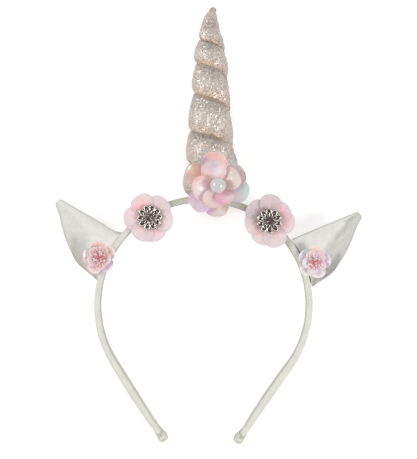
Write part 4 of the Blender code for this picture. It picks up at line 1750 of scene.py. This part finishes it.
@dataclass
class PetalPress:
    """Presses petals of one kind.

    Attributes:
        foot: How far a petal's foot is from the flower's middle.
        cup: How far a petal's sides rise above its middle.
        wall: The film's thickness.
        curl: How far a petal's rim rolls up.
        ruffle: How far the rim waves.
        rim_dye: The dye of the rim's cut edge.
        rim_share: How strong that dye is.
        taper: How much a petal narrows towards its foot.
        fullness: The power of its side's curve: 1 is an ellipse, less is fuller.
    """

    foot: float
    cup: float
    wall: float = 0.34 * MM
    curl: float = 0.5 * MM
    ruffle: float = 0.14 * MM
    rim_dye: Dye = Dye.RIM
    rim_share: float = 0.5
    taper: float = 0.5
    fullness: float = 0.9
    sides: int = 56
    rings: int = 13
    middle: float = 0.58

    def outline(self, petal: Petal, angle: float) -> tuple[float, float]:
        """Give a point of the petal's edge, flat, at an angle from its tip."""
        length = petal.reach * MM - self.foot
        x = self.foot + length * (1 + math.cos(angle)) / 2
        return x, petal.half_width * MM * self.swell(angle) / self.widest

    def swell(self, angle: float) -> float:
        """Give the outline's relative half width at an angle from the tip."""
        side = math.sin(angle)
        return powered(side, self.fullness) * abs(math.cos(angle / 2)) ** self.taper

    @cached_property
    def widest(self) -> float:
        """The largest relative half width."""
        return max(self.swell(math.radians(a)) for a in range(180))

    def surface(self, petal: Petal, x: float, y: float, share: float, seed: float) -> Vector:
        """Raise a flat point of the petal to its pressed place.

        Args:
            petal: The petal.
            x: The point's distance along it.
            y: Its distance across it.
            share: How near it is to the edge, from 0 to 1.
            seed: Which petal's ruffles.

        Returns:
            The raised point.
        """
        reach, half = petal.reach * MM, petal.half_width * MM
        z = petal.lift * MM + petal.rise * MM * (x / reach) ** 2
        z += self.cup * (y / half) ** 2 + petal.twist * y
        outer = max(0.0, (x - self.foot) / (reach - self.foot))
        edge = share**6 * outer
        z += self.curl * edge + self.ruffle * share**3 * outer * wander(seed, x * 300, y * 300)
        z -= 0.22 * MM * bump(y, 0.16 * half) * outer * (1 - share**4)
        return Vector((x, y, z))

    def tint(self, petal: Petal, x: float, y: float, share: float) -> Colour:
        """Mix the petal's dye at a point."""
        along = (x - self.foot) / (petal.reach * MM - self.foot)
        across = y / (petal.half_width * MM)
        colour = petal.base.light
        for wash in petal.washes:
            colour = wash.on(colour, along, across)
        rim = self.rim_share * max(0.0, (share - 0.90) / 0.10) * clamped(along * 3)
        colour = colour * (1 - rim) + self.rim_dye.light * colour / colour.max() * rim
        return plain(np.clip(colour, 0.01, 0.95))

    def blank(self, petal: Petal, seed: float) -> Blank:
        """Press one petal lying along +X from the flower's middle.

        Args:
            petal: Its sizes and dyes.
            seed: Which ruffles it has.

        Returns:
            The closed thin petal.
        """
        length = petal.reach * MM - self.foot
        middle = self.foot + self.middle * length
        shares = [1 - (1 - k / self.rings) ** 1.35 for k in range(1, self.rings + 1)]
        top = [(middle, 0.0, 0.0)]
        for share in shares:
            for i in range(self.sides):
                x, y = self.outline(petal, 2 * math.pi * i / self.sides)
                top.append((middle + (x - middle) * share, y * share, share))
        made = Blank()
        for under in (False, True):
            for x, y, share in top:
                point = self.surface(petal, x, y, share, seed)
                slope = 2 * petal.rise * MM * x / (petal.reach * MM) ** 2
                tilt = 2 * self.cup * y / (petal.half_width * MM) ** 2 + petal.twist
                normal = Vector((-slope, -tilt, 1.0)).normalized()
                half = self.wall / 2 * (1.0 if share < 0.999 else 0.75)
                made.points.append(point + normal * (-half if under else half))
                made.lay.append(((x - self.foot) / length, y / (petal.half_width * MM)))
                made.dye.append(self.tint(petal, x, y, share))
        made.faces = disc_faces(self.sides, self.rings)
        return made

    def press(self, name: str, petal: Petal, place: Vector, finish, slot: Slot, node: str, seed: float) -> None:
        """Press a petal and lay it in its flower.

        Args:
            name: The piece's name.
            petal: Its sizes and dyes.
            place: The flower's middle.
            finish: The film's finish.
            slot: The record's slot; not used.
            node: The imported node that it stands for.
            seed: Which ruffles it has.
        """
        turn = Matrix.Translation(place) @ Matrix.Rotation(math.radians(petal.angle), 4, "Z")
        blank = Blank().add(self.blank(petal, seed), turn)
        lay_piece(name, blank, finish, [node], sharp=75, smooth_levels=1)


# The milk-white washes on these petals are painted highlights.
ROSE_OUTER = (
    Petal(101, 19.0, 7.4, 1.5, 3.4, 0.00, Dye.BLUSH, (
        Wash(Dye.CORAL, 0.92, 0.0, 0.22, 0.9, 0.75), Wash(Dye.LILAC, 0.75, 0.85, 0.4, 0.45, 0.8))),
    Petal(32, 16.8, 6.9, 0.7, 2.4, -0.20, Dye.MAUVE, (
        Wash(Dye.DOVE, 0.85, 0.9, 0.5, 0.35, 0.8), Wash(Dye.SAND, 0.5, -0.3, 0.4, 0.6, 0.5))),
    Petal(-12, 17.9, 6.6, 0.1, 2.0, -0.20, Dye.DOVE, (
        Wash(Dye.MINT, 0.95, 0.25, 0.20, 0.75, 1.0), Wash(Dye.MILK, 0.60, -0.4, 0.25, 0.6, 0.7))),
    Petal(-92, 17.5, 7.0, 0.1, 2.2, 0.20, Dye.SAND, (
        Wash(Dye.MAGENTA, 0.75, -0.75, 0.45, 0.55, 0.8), Wash(Dye.DOVE, 0.9, 0.3, 0.25, 0.6, 0.5))),
    Petal(-139, 18.9, 7.2, 0.4, 2.4, 0.20, Dye.LILAC, (
        Wash(Dye.DOVE, 0.95, 0.5, 0.25, 0.6, 0.8), Wash(Dye.BLUSH, 0.55, -0.4, 0.4, 0.6, 0.6))),
    Petal(153, 19.6, 7.0, 0.8, 2.4, 0.20, Dye.OCHRE, (
        Wash(Dye.SAND, 0.98, -0.4, 0.25, 0.6, 0.5), Wash(Dye.BLUSH, 0.62, 0.75, 0.5, 0.5, 0.8))),
)
# The milk-white washes on these petals are painted highlights.
ROSE_INNER = (
    Petal(108, 14.2, 7.2, 3.3, 6.2, -0.22, Dye.BLUSH, (
        Wash(Dye.DOVE, 0.82, -0.1, 0.26, 0.6, 0.9), Wash(Dye.MILK, 0.42, -0.35, 0.16, 0.35, 0.9),
        Wash(Dye.CORAL, 0.85, 0.95, 0.5, 0.25, 0.5))),
    Petal(31, 13.0, 6.6, 3.3, 5.4, -0.22, Dye.SAND, (
        Wash(Dye.BLUSH, 0.50, 0.8, 0.6, 0.5, 0.9), Wash(Dye.SHELL, 0.9, -0.8, 0.3, 0.5, 0.7),
        Wash(Dye.CORAL, 0.35, 0.0, 0.2, 0.9, 0.4))),
    Petal(-57, 11.6, 5.2, 3.3, 4.8, -0.22, Dye.ROSE, (
        Wash(Dye.SHELL, 0.85, 0.3, 0.3, 0.6, 0.6), Wash(Dye.MILK, 0.7, 0.7, 0.15, 0.2, 0.8))),
    Petal(-110, 12.8, 5.6, 3.3, 4.8, -0.22, Dye.SHELL, (
        Wash(Dye.PEACH, 0.85, -0.5, 0.3, 0.5, 0.4), Wash(Dye.ROSE, 0.4, 0.2, 0.3, 0.6, 0.5))),
    Petal(-167, 14.4, 7.0, 3.3, 5.6, -0.22, Dye.BLUSH, (
        Wash(Dye.FLUSH, 0.24, -0.1, 0.13, 0.8, 0.9), Wash(Dye.MILK, 0.62, 0.1, 0.28, 0.40, 0.9),
        Wash(Dye.CORAL, 0.80, -0.8, 0.3, 0.25, 0.5))),
)


@dataclass
class Rose:
    """The large rose on the horn's foot: six outer petals, five cupped inner ones and a pearl."""

    place: Vector = field(default_factory=lambda: Vector((6.3, 68.1, 15.75)) * MM)
    post: float = 1.5 * MM
    pearl_radius: float = 4.5 * MM
    pearl_height: float = 8.4 * MM

    def build(self) -> None:
        """Press the petals and set the pearl."""
        foot = self.post + 0.3 * MM
        outer = PetalPress(foot, 1.0 * MM, curl=0.45 * MM, rim_share=0.10, taper=0.25, fullness=0.8)
        inner = PetalPress(foot, 1.4 * MM, curl=0.7 * MM, rim_share=0.3, rim_dye=Dye.CORAL, taper=0.15, fullness=0.78)
        film = PearlyFilm()
        for kind, press, petals in (("outer", outer, ROSE_OUTER), ("inner", inner, ROSE_INNER)):
            for number, petal in enumerate(petals, 1):
                press.press(
                    f"rose_{kind}_{number}", petal, self.place, film, Slot.PEARLY,
                    f"rose_{kind}_petal_{number}", 20.0 + number * 3.1 + (7 if kind == "inner" else 0),
                )
        self.build_post()
        self.build_pearl()

    def build_post(self) -> None:
        """Bind the petals' feet with a wrapped thread."""
        top = self.pearl_height - self.pearl_radius - 0.3 * MM
        path, wound = [], self.post - 0.22 * MM
        turns, steps = 9, 18
        for k in range(turns * steps + 1):
            a = 2 * math.pi * k / steps
            height = -0.2 * MM + (top + 0.05 * MM) * k / (turns * steps)
            path.append(self.place + Vector((wound * math.cos(a), wound * math.sin(a), height)))
        blank = Blank().add(turned([(1.1 * MM, -0.3 * MM), (1.1 * MM, top)], 20), Matrix.Translation(self.place))
        blank.add(tube(path, 0.21 * MM, 6))
        lay_piece("rose_binding", blank, SewingThread(), ["rose_post"])

    def build_pearl(self) -> None:
        """Set the drilled pearl."""
        pearl = ball(self.pearl_radius, 28, 48)
        blank = Blank().add(pearl, Matrix.Translation(self.place + Vector((0, 0, self.pearl_height))))
        lay_piece("rose_pearl_bead", blank, PearlLustre(), ["rose_pearl"], smooth_levels=1)


@dataclass
class SilverCap:
    """A pierced silver cap: two rings of looped petals round a beaded bezel, on a post.

    The inner ring is a smaller copy of the outer one, lifted, and turned by some degrees.
    """

    loops: int = 10
    start: float = 2.5 * MM
    end: float = 6.9 * MM
    half_width: float = 1.68 * MM
    wire: float = 0.42 * MM
    inner_loops: int = 8
    inner_scale: float = 0.60
    inner_lift: float = 0.85 * MM
    inner_turn: float = 9.0
    bezel: float = 2.45 * MM
    bezel_height: float = 1.9 * MM
    beads: int = 16
    bead: float = 0.28 * MM
    post: float = 1.2 * MM
    bright: Colour = WHITE
    dull: Colour = (0.45, 0.38, 0.35)
    dark: Colour = (0.14, 0.11, 0.10)

    def loop_path(self, size: float, count: int = 22) -> list[Vector]:
        """Draw one petal's wire, pointed at its tip and rising outwards.

        Args:
            size: The loop's size as a share of the outer one.
            count: How many points it has.

        Returns:
            The closed path.
        """
        middle = (self.start + self.end) / 2
        half = (self.end - self.start) / 2 * size
        path = []
        for i in range(count):
            a = 2 * math.pi * i / count
            width = self.half_width * size * (1 - 0.22 * (1 - math.cos(a)))
            x = middle + half * math.cos(a)
            out = (x - self.start) / (self.end - self.start)
            path.append(Vector((x, width * math.sin(a), (0.50 + 0.55 * out**2) * MM)))
        return path

    def petal(self) -> Blank:
        """Make one openwork petal with a ball in its hollow."""
        made = tube(self.loop_path(1.0), self.wire, 8, closed=True).dyed(self.bright)
        middle = Vector(((self.start + self.end) / 2, 0, 0.30 * MM))
        rings = []
        for share, drop in ((0.12, 0.42), (0.55, 0.40), (0.93, 0.30), (0.93, 0.0), (0.55, 0.12), (0.12, 0.16)):
            ring = [middle + (p - middle) * share - Vector((0, 0, drop * MM)) for p in self.loop_path(1.0)]
            rings.append(ring)
        made.add(loft(rings).dyed(self.dark))
        drop = Matrix.Translation(Vector((self.end - 2.0 * MM, 0, 0.55 * MM)))
        made.add(ball(0.36 * MM, 6, 9).dyed(self.bright), drop)
        return made

    def blank(self, turn: float, height: float) -> Blank:
        """Make the whole cap.

        Args:
            turn: How far it is turned, in degrees.
            height: How far it stands above the blossom's foot.

        Returns:
            The cap, with its seat at the origin.
        """
        inner = self.bezel - 0.5 * MM
        profile = [
            (self.post, -height), (self.post, -0.05 * MM), (self.bezel - 0.35 * MM, 0.0), (self.bezel, 0.35 * MM),
            (self.bezel - 0.05 * MM, 1.25 * MM), (self.bezel - 0.02 * MM, self.bezel_height - 0.15 * MM),
            (self.bezel - 0.16 * MM, self.bezel_height), (inner + 0.1 * MM, self.bezel_height - 0.02 * MM),
            (inner, self.bezel_height - 0.2 * MM), (inner, 0.9 * MM), (0.3 * MM, 0.88 * MM),
        ]
        made = turned(profile, 48).dyed(self.dull)
        for k in range(self.loops):
            made.add(self.petal(), Matrix.Rotation(math.radians(turn + 360 * k / self.loops), 4, "Z"))
        small = Matrix.Translation(Vector((0.25 * MM, 0, self.inner_lift))) @ Matrix.Scale(self.inner_scale, 4)
        for k in range(self.inner_loops):
            spin = Matrix.Rotation(math.radians(turn + self.inner_turn + 360 * k / self.inner_loops), 4, "Z")
            made.add(self.petal(), spin @ small)
        for k, spot in enumerate(circle(self.bezel, self.bezel_height - 0.15 * MM, self.beads)):
            made.add(ball(self.bead, 6, 8).dyed(self.bright if k % 2 else self.dull), Matrix.Translation(spot))
        return made


@dataclass
class CutStone:
    """A round cut stone: a table, star, kite and girdle facets, and a pointed back."""

    radius: float = 1.9 * MM
    foot: float = 1.2 * MM
    girdle: float = 2.2 * MM
    brow: float = 2.35 * MM
    top: float = 2.95 * MM
    # Dark wine tints and pale painted reflections, one to a facet.
    facet_tints_and_reflections: tuple[Colour, ...] = (
        (0.10, 0.055, 0.055), (0.42, 0.34, 0.33), (0.12, 0.06, 0.06), (0.90, 0.88, 0.87), (0.03, 0.015, 0.02),
        (0.22, 0.13, 0.13), (0.60, 0.52, 0.50), (0.12, 0.06, 0.06), (0.95, 0.94, 0.94), (0.08, 0.04, 0.045),
    )

    def blank(self) -> Blank:
        """Cut the stone, with a colour for each facet: the crystal's dark tint and painted reflections."""
        mid = (self.brow + self.top) / 2 + 0.06 * MM
        step = math.pi / 8
        rings = (
            circle(0.34 * self.radius, self.top, 8), circle(0.68 * self.radius, mid + 0.1 * MM, 8, step),
            circle(self.radius, self.brow, 16), circle(self.radius, self.girdle, 16),
        )
        points = [p for ring in rings for p in ring] + [Vector((0, 0, self.foot))]
        faces: Faces = [tuple(range(8))]
        for i in range(8):
            j, h = (i + 1) % 8, (i - 1) % 8
            faces.append((i, 8 + i, j))
            faces.append((i, 8 + h, 16 + 2 * i, 8 + i))
            faces.append((8 + i, 16 + 2 * i, 16 + 2 * i + 1))
            faces.append((8 + i, 16 + 2 * i + 1, 16 + (2 * i + 2) % 16))
        for i in range(16):
            j = (i + 1) % 16
            faces.append((16 + i, 32 + i, 32 + j, 16 + j))
            faces.append((32 + i, 48, 32 + j))
        dye = [self.facet_tints_and_reflections[(7 * k * k + 3 * k) % len(self.facet_tints_and_reflections)] for k in range(len(faces))]
        dye[0] = self.facet_tints_and_reflections[0]
        return Blank(points, faces, [], dye)


@dataclass
class FrostedBlossom:
    """A frosted blossom on the band's front edge, held by a silver cap with one cut stone."""

    side: Side
    place: Vector
    cap_height: float
    cap_turn: float
    petals: tuple[Petal, ...]

    def build(self) -> None:
        """Press the petals, fix the cap and set the stone."""
        word = self.side.word
        film = FrostedFilm()
        for number, laid in enumerate(self.petals, 1):
            press = PetalPress(
                1.5 * MM, (0.12 + 0.15 * laid.lift) * MM, wall=0.30 * MM, curl=0.10 * MM, ruffle=0.10 * MM,
                rim_share=0.5, taper=0.35, fullness=0.85,
            )
            petal = replace(laid, lift=0.40 + 0.24 * laid.lift)
            press.press(
                f"blossom_{word}_{number}", petal, self.place, film, Slot.FROSTED,
                f"blossom_{word}_petal_{number}", 50.0 + 4.7 * number + self.side.value,
            )
        seat = Matrix.Translation(self.place + Vector((0, 0, self.cap_height)))
        cap = Blank().add(SilverCap().blank(self.cap_turn, self.cap_height), seat)
        lay_piece(f"silver_cap_{word}", cap, OldSilver(), [f"blossom_{word}_cap"], sharp=50)
        turned_seat = seat @ Matrix.Rotation(math.radians(self.cap_turn), 4, "Z")
        stone = Blank().add(CutStone().blank(), turned_seat)
        lay_piece(f"cut_stone_{word}", stone, CutCrystal(), [f"blossom_{word}_stone"], sharp=1)


CORE_WASH = Wash(Dye.CORE, 0.35, 0.0, 0.38, 2.0, 0.95)


def frosted(
    angle: float, reach: float, half_width: float, lift: float, flush: tuple[float, ...] = (), rise: float = 1.4
) -> Petal:
    """Give a frosted petal.

    Args:
        angle: Where it points, in degrees.
        reach: How far its tip is from the flower's middle, in millimetres.
        half_width: Half its width, in millimetres.
        lift: How high its foot is, in millimetres.
        flush: The pink wash on it, from its place along on, if it has one.
        rise: How far its tip rises above its foot, in millimetres.

    Returns:
        The petal.
    """
    washes = (CORE_WASH, Wash(Dye.FLUSH, *flush)) if flush else (CORE_WASH,)
    return Petal(angle, reach, half_width, lift, rise, 0.0, Dye.FROST, washes)


LEFT_BLOSSOM = (
    frosted(121, 14.3, 7.0, 1.0, (0.48, 0.3, 0.26, 0.8, 0.85), rise=1.5),
    frosted(50, 13.8, 7.0, 0.1),
    frosted(-13, 13.5, 6.6, 1.0, (0.42, -0.3, 0.22, 0.7, 0.40)),
    frosted(-72, 14.3, 6.6, 0.1, (0.44, 0.2, 0.24, 0.8, 0.60)),
    frosted(-115, 14.4, 6.8, 1.0, (0.40, 0.0, 0.22, 0.8, 0.35)),
    frosted(-176, 15.2, 6.6, 0.1, (0.42, -0.7, 0.24, 0.6, 0.80)),
)
RIGHT_BLOSSOM = (
    frosted(87, 15.3, 6.4, 2.1, (0.45, -0.7, 0.22, 0.6, 0.35)),
    frosted(37, 13.9, 6.4, 1.0, (0.52, -0.2, 0.28, 0.8, 0.85)),
    frosted(-4, 14.9, 6.4, 0.1, (0.48, 0.4, 0.28, 0.8, 0.85)),
    frosted(-69, 15.8, 6.8, 1.2, (0.42, 0.2, 0.20, 0.7, 0.30)),
    frosted(-112, 14.6, 6.6, 0.1, (0.46, -0.1, 0.26, 0.8, 0.70)),
    frosted(-168, 14.1, 6.6, 1.0, (0.44, 0.4, 0.24, 0.7, 0.55)),
    frosted(143, 14.9, 6.8, 0.1),
)


@dataclass(frozen=True)
class Tier:
    """One stamped five-petal sequin of a small blossom.

    Attributes:
        name: Which of the two it is.
        radius: How far its petals reach.
        height: How far it lies above the blossom's seat.
        rise: How far its petals rise.
        turn: How far it is turned, in degrees.
        dyes: The dye of each petal in turn.
    """

    name: str
    radius: float
    height: float
    rise: float
    turn: float
    dyes: tuple[Dye, ...]


@dataclass
class SequinBlossom:
    """A small blossom of two iridescent sequins and a knot of rose glass beads."""

    side: Side
    band: SatinBand
    x: float
    y: float
    turn: float
    tiers: tuple[Tier, ...]
    wall: float = 0.34 * MM
    lobes: int = 5
    notch: float = 0.30
    fold: float = 0.35
    sides: int = 120
    rings: int = 12
    gap: float = 0.3 * MM
    bead_wall: float = 0.4 * MM
    strands: int = 17
    strand_beads: int = 3
    knot: tuple[tuple[int, float, float, float], ...] = (
        (1, 0.0, 2.75, 0.68),
        (5, 1.15, 2.35, 0.66),
        (9, 2.25, 1.80, 0.68),
        (12, 3.25, 1.20, 0.66),
    )

    def seat(self) -> Vector:
        """Find where the lower sequin's middle lies, just clear of the band's front edge."""
        lower = self.tiers[0]
        past_edge = math.hypot(self.x, self.y) - self.band.outside + 1.2 * MM
        risen = lower.rise * (past_edge / lower.radius) ** 2
        return Vector((self.x, self.y, self.band.depth / 2 + self.gap + self.bead_wall / 2 - risen))

    def tier_blank(self, tier: Tier) -> Blank:
        """Stamp one sequin.

        Args:
            tier: Its sizes and dyes.

        Returns:
            The sequin round the origin.
        """
        top = [(0.0, 0.0, 0.0, 0.0, 0.0)]
        for k in range(1, self.rings + 1):
            share = 1 - (1 - k / self.rings) ** 1.3
            for i in range(self.sides):
                angle = 2 * math.pi * i / self.sides
                lobe = abs(math.cos(self.lobes * angle / 2)) ** 0.5
                reach = tier.radius * (1 - self.notch * (1 - lobe) * share) * share
                z = tier.rise * (reach / tier.radius) ** 2 * (1 + self.fold * (1 - lobe) * share**2)
                z += 0.45 * MM * share**5 * lobe - 0.25 * MM * share**2 * (1 - share) * lobe * 4
                z += 0.22 * MM * share**3 * wander(53 + tier.radius / MM, math.cos(angle) * 7, math.sin(angle) * 7)
                top.append((reach * math.cos(angle), reach * math.sin(angle), z, share, angle))
        made = Blank()
        for under in (False, True):
            for x, y, z, share, angle in top:
                made.points.append(Vector((x, y, z + (-self.wall if under else self.wall) / 2)))
                made.lay.append((share, angle))
                made.dye.append(self.tint(tier, share, angle))
        made.faces = disc_faces(self.sides, self.rings)
        return made

    def tint(self, tier: Tier, share: float, angle: float) -> Colour:
        """Mix a sequin's dye at a point, with milky streaks and a painted highlight along its rim."""
        spot = angle / (2 * math.pi) * self.lobes
        number = int(round(spot)) % self.lobes
        dye, heart = tier.dyes[number].light, Dye.ROSE.light
        colour = dye * share + (0.55 * dye + 0.45 * heart) * (1 - share)
        streak = 0.5 + 0.5 * wander(41 + tier.radius / MM, math.cos(angle) * 9, math.sin(angle) * 9, share * 1.5)
        colour = colour * (1 - 0.6 * streak) + Dye.MILK.light * 0.6 * streak
        # Painted highlight: the rim is whitened where its edge catches the light.
        edge = max(0.0, (share - 0.82) / 0.18)
        colour = colour * (1 - 0.7 * edge) + Dye.MILK.light * 0.7 * edge
        return plain(colour)

    def beads(self) -> Blank:
        """String the knot of seed beads round the origin."""
        made = Blank()
        mixes = (
            (Dye.WINE,),
            (Dye.BERRY, Dye.WINE, Dye.CORAL),
            (Dye.CORAL, Dye.ROSE, Dye.BERRY, Dye.BLUSH),
            (Dye.BLUSH, Dye.ROSE, Dye.SHELL, Dye.CORAL),
        )
        number = 0
        for (count, ring, height, radius), mix in zip(self.knot, mixes):
            for k in range(count):
                a = 2 * math.pi * (k + 0.5 * (number % 2)) / count
                spot = Vector((ring * math.cos(a), ring * math.sin(a), height + 0.22 * wander(31, number * 0.7)))
                bead = ball(radius * MM, 8, 12, squash=0.8)
                bead.dyed(mix[number % len(mix)].light)
                tip = Vector((-spot.y, spot.x, 0)) if ring else Vector((1, 0, 0))
                lean = Matrix.Rotation(0.6 * ring / 3 + 0.5 * wander(37, number * 1.3), 4, tip)
                made.add(bead, Matrix.Translation(spot * MM) @ lean)
                number += 1
        for k in range(self.strands):
            a = 2 * math.pi * (k + 0.3 * wander(43, k * 2.1)) / self.strands
            for j in range(self.strand_beads):
                ring = 4.1 + 0.85 * j
                height = 3.0 * (ring / 7.0) ** 2 + 0.12 + 0.15 * wander(47, k * 1.9, j * 1.1)
                spot = Vector((ring * math.cos(a), ring * math.sin(a), height)) * MM
                dye = (Dye.ROSE, Dye.SHELL, Dye.CORAL, Dye.BLUSH, Dye.MILK)[(k * 2 + j * 3) % 5]
                made.add(ball(0.40 * MM, 6, 8).dyed(dye.light), Matrix.Translation(spot))
        return made

    def build(self) -> None:
        """Stamp the sequins, string the beads and lay them on the table."""
        word = self.side.word
        seat = self.seat()
        for tier in self.tiers:
            place = Matrix.Translation(seat + Vector((0, 0, tier.height)))
            place = place @ Matrix.Rotation(math.radians(self.turn + tier.turn), 4, "Z")
            blank = Blank().add(self.tier_blank(tier), place)
            film = PearlyFilm("iridescent_film", 560.0, 0.16, 0.6)
            lay_piece(
                f"sequin_{tier.name}_{word}", blank, film, [f"sequin_{word}_{tier.name}"], sharp=75,
            )
        lift = self.tiers[-1].height + self.bead_wall + self.gap - 0.15 * MM
        blank = Blank().add(self.beads(), Matrix.Translation(seat + Vector((0, 0, lift))))
        lay_piece(f"sequin_knot_{word}", blank, PinkGlass(), [f"sequin_{word}_beads"])


@dataclass
class Studio:
    """The pale paper floor, the two soft round lights, the open sky of paper and the camera."""

    target: Vector = field(default_factory=lambda: Vector((1.6, 43.6, 0.0)) * MM)
    distance: float = 520.0 * MM
    focal: float = 70.56
    roll: float = 1.4
    floor_size: float = 3.0
    sky: float = 0.70

    def build_floor(self) -> None:
        """Roll out the paper."""
        half = self.floor_size / 2
        steps = 12
        points, faces = [], grid_faces(steps + 1, steps + 1)
        for r in range(steps + 1):
            for c in range(steps + 1):
                points.append((-half + 2 * half * c / steps, -half + 2 * half * r / steps, 0.0))
        mesh = bpy.data.meshes.new("paper_floor")
        mesh.from_pydata(points, [], faces)
        mesh.materials.append(FINISHES.of(StudioPaper()))
        floor = bpy.data.objects.new("paper_floor", mesh)
        bpy.context.scene.collection.objects.link(floor)

    def light(self, name: str, way: Vector, distance: float, size: float, power: float, colour: Colour) -> None:
        """Hang a round soft light.

        Args:
            name: Its name.
            way: The way from the headband to it.
            distance: How far off it hangs.
            size: Its diameter.
            power: Its power in watts.
            colour: Its colour.
        """
        lamp = bpy.data.lights.new(name, "AREA")
        lamp.shape = "DISK"
        lamp.size = size
        lamp.energy = power
        lamp.color = colour
        item = bpy.data.objects.new(name, lamp)
        way = way.normalized()
        item.location = RESTING_POSE @ self.target + way * distance
        item.rotation_mode = "QUATERNION"
        item.rotation_quaternion = way.to_track_quat("Z", "Y")
        bpy.context.scene.collection.objects.link(item)

    def build_sky(self) -> None:
        """Surround the scene with soft white."""
        world = bpy.data.worlds.new("white_room")
        world.use_nodes = True
        ground = world.node_tree.nodes["Background"]
        ground.inputs["Color"].default_value = (1.0, 1.0, 1.0, 1.0)
        ground.inputs["Strength"].default_value = self.sky
        bpy.context.scene.world = world

    def build_camera(self) -> None:
        """Set the camera up at the photograph's angle."""
        turn = RESTING_POSE.to_3x3()
        roll = math.radians(self.roll)
        right, up, back = turn @ Vector((1, 0, 0)), turn @ Vector((0, 1, 0)), turn @ Vector((0, 0, 1))
        up_now = up * math.cos(roll) - right * math.sin(roll)
        right_now = right * math.cos(roll) + up * math.sin(roll)
        data = bpy.data.cameras.new("camera")
        data.lens = self.focal
        data.clip_start, data.clip_end = 0.01, 20.0
        camera = bpy.data.objects.new("camera", data)
        camera.location = RESTING_POSE @ self.target + back * self.distance
        camera.rotation_mode = "QUATERNION"
        camera.rotation_quaternion = Matrix((right_now, up_now, back)).transposed().to_quaternion()
        bpy.context.scene.collection.objects.link(camera)
        bpy.context.scene.camera = camera

    def build(self) -> None:
        """Set the whole studio up."""
        self.build_floor()
        self.build_sky()
        self.light("soft_left", Vector((-0.80, 0.15, 0.62)), 0.85, 0.28, 2.6, (1.0, 0.99, 0.98))
        self.light("soft_right", Vector((0.77, -0.24, 0.64)), 0.85, 0.28, 2.4, WHITE)
        self.build_camera()
        scene = bpy.context.scene
        scene.view_settings.view_transform = "Standard"
        scene.view_settings.look = "None"


def main() -> None:
    """Build the headband piece by piece, then the studio round it."""
    logging.basicConfig(level=logging.INFO, format="%(message)s")
    band = SatinBand()
    band.build()
    for side in Side:
        RibbonTip(side, band).build()
    GlitterHorn(base=band.outside + 0.3 * MM).build()
    FeltEar(Side.LEFT, band, (50.1, 78.2), 43.3, -0.4 * MM).build()
    FeltEar(Side.RIGHT, band, (52.1, 79.0), 48.2, 0.4 * MM, foot_gap=0.6 * MM, fold=0.6, creases=RIGHT_CREASES).build()
    Rose().build()
    seat = band.depth / 2 + 0.4 * MM
    FrostedBlossom(Side.LEFT, Vector((-32.1 * MM, 49.7 * MM, seat)), 1.8 * MM, 4.0, LEFT_BLOSSOM).build()
    FrostedBlossom(Side.RIGHT, Vector((36.1 * MM, 49.4 * MM, seat)), 2.9 * MM, 22.0, RIGHT_BLOSSOM).build()
    left = (
        Tier("lower", 9.6 * MM, 0.0, 2.4 * MM, 0.0, (Dye.FLUSH, Dye.SHELL, Dye.ROSE, Dye.LILAC, Dye.PEACH)),
        Tier("upper", 7.0 * MM, 0.75 * MM, 3.0 * MM, 36.0, (Dye.FLUSH, Dye.ROSE, Dye.FLUSH, Dye.PEACH, Dye.FLUSH)),
    )
    right = (
        Tier("lower", 9.6 * MM, 0.0, 2.4 * MM, 0.0, (Dye.PEACH, Dye.SKY, Dye.SHELL, Dye.MILK, Dye.LILAC)),
        Tier("upper", 7.0 * MM, 0.75 * MM, 3.0 * MM, 36.0, (Dye.PEACH, Dye.MILK, Dye.BLUSH, Dye.MAGENTA, Dye.ROSE)),
    )
    SequinBlossom(Side.LEFT, band, -60.3 * MM, 26.1 * MM, 100.0, left).build()
    SequinBlossom(Side.RIGHT, band, 62.5 * MM, 26.5 * MM, 80.0, right, strands=11, strand_beads=1).build()
    Studio().build()


if __name__ == "__main__":
    main()
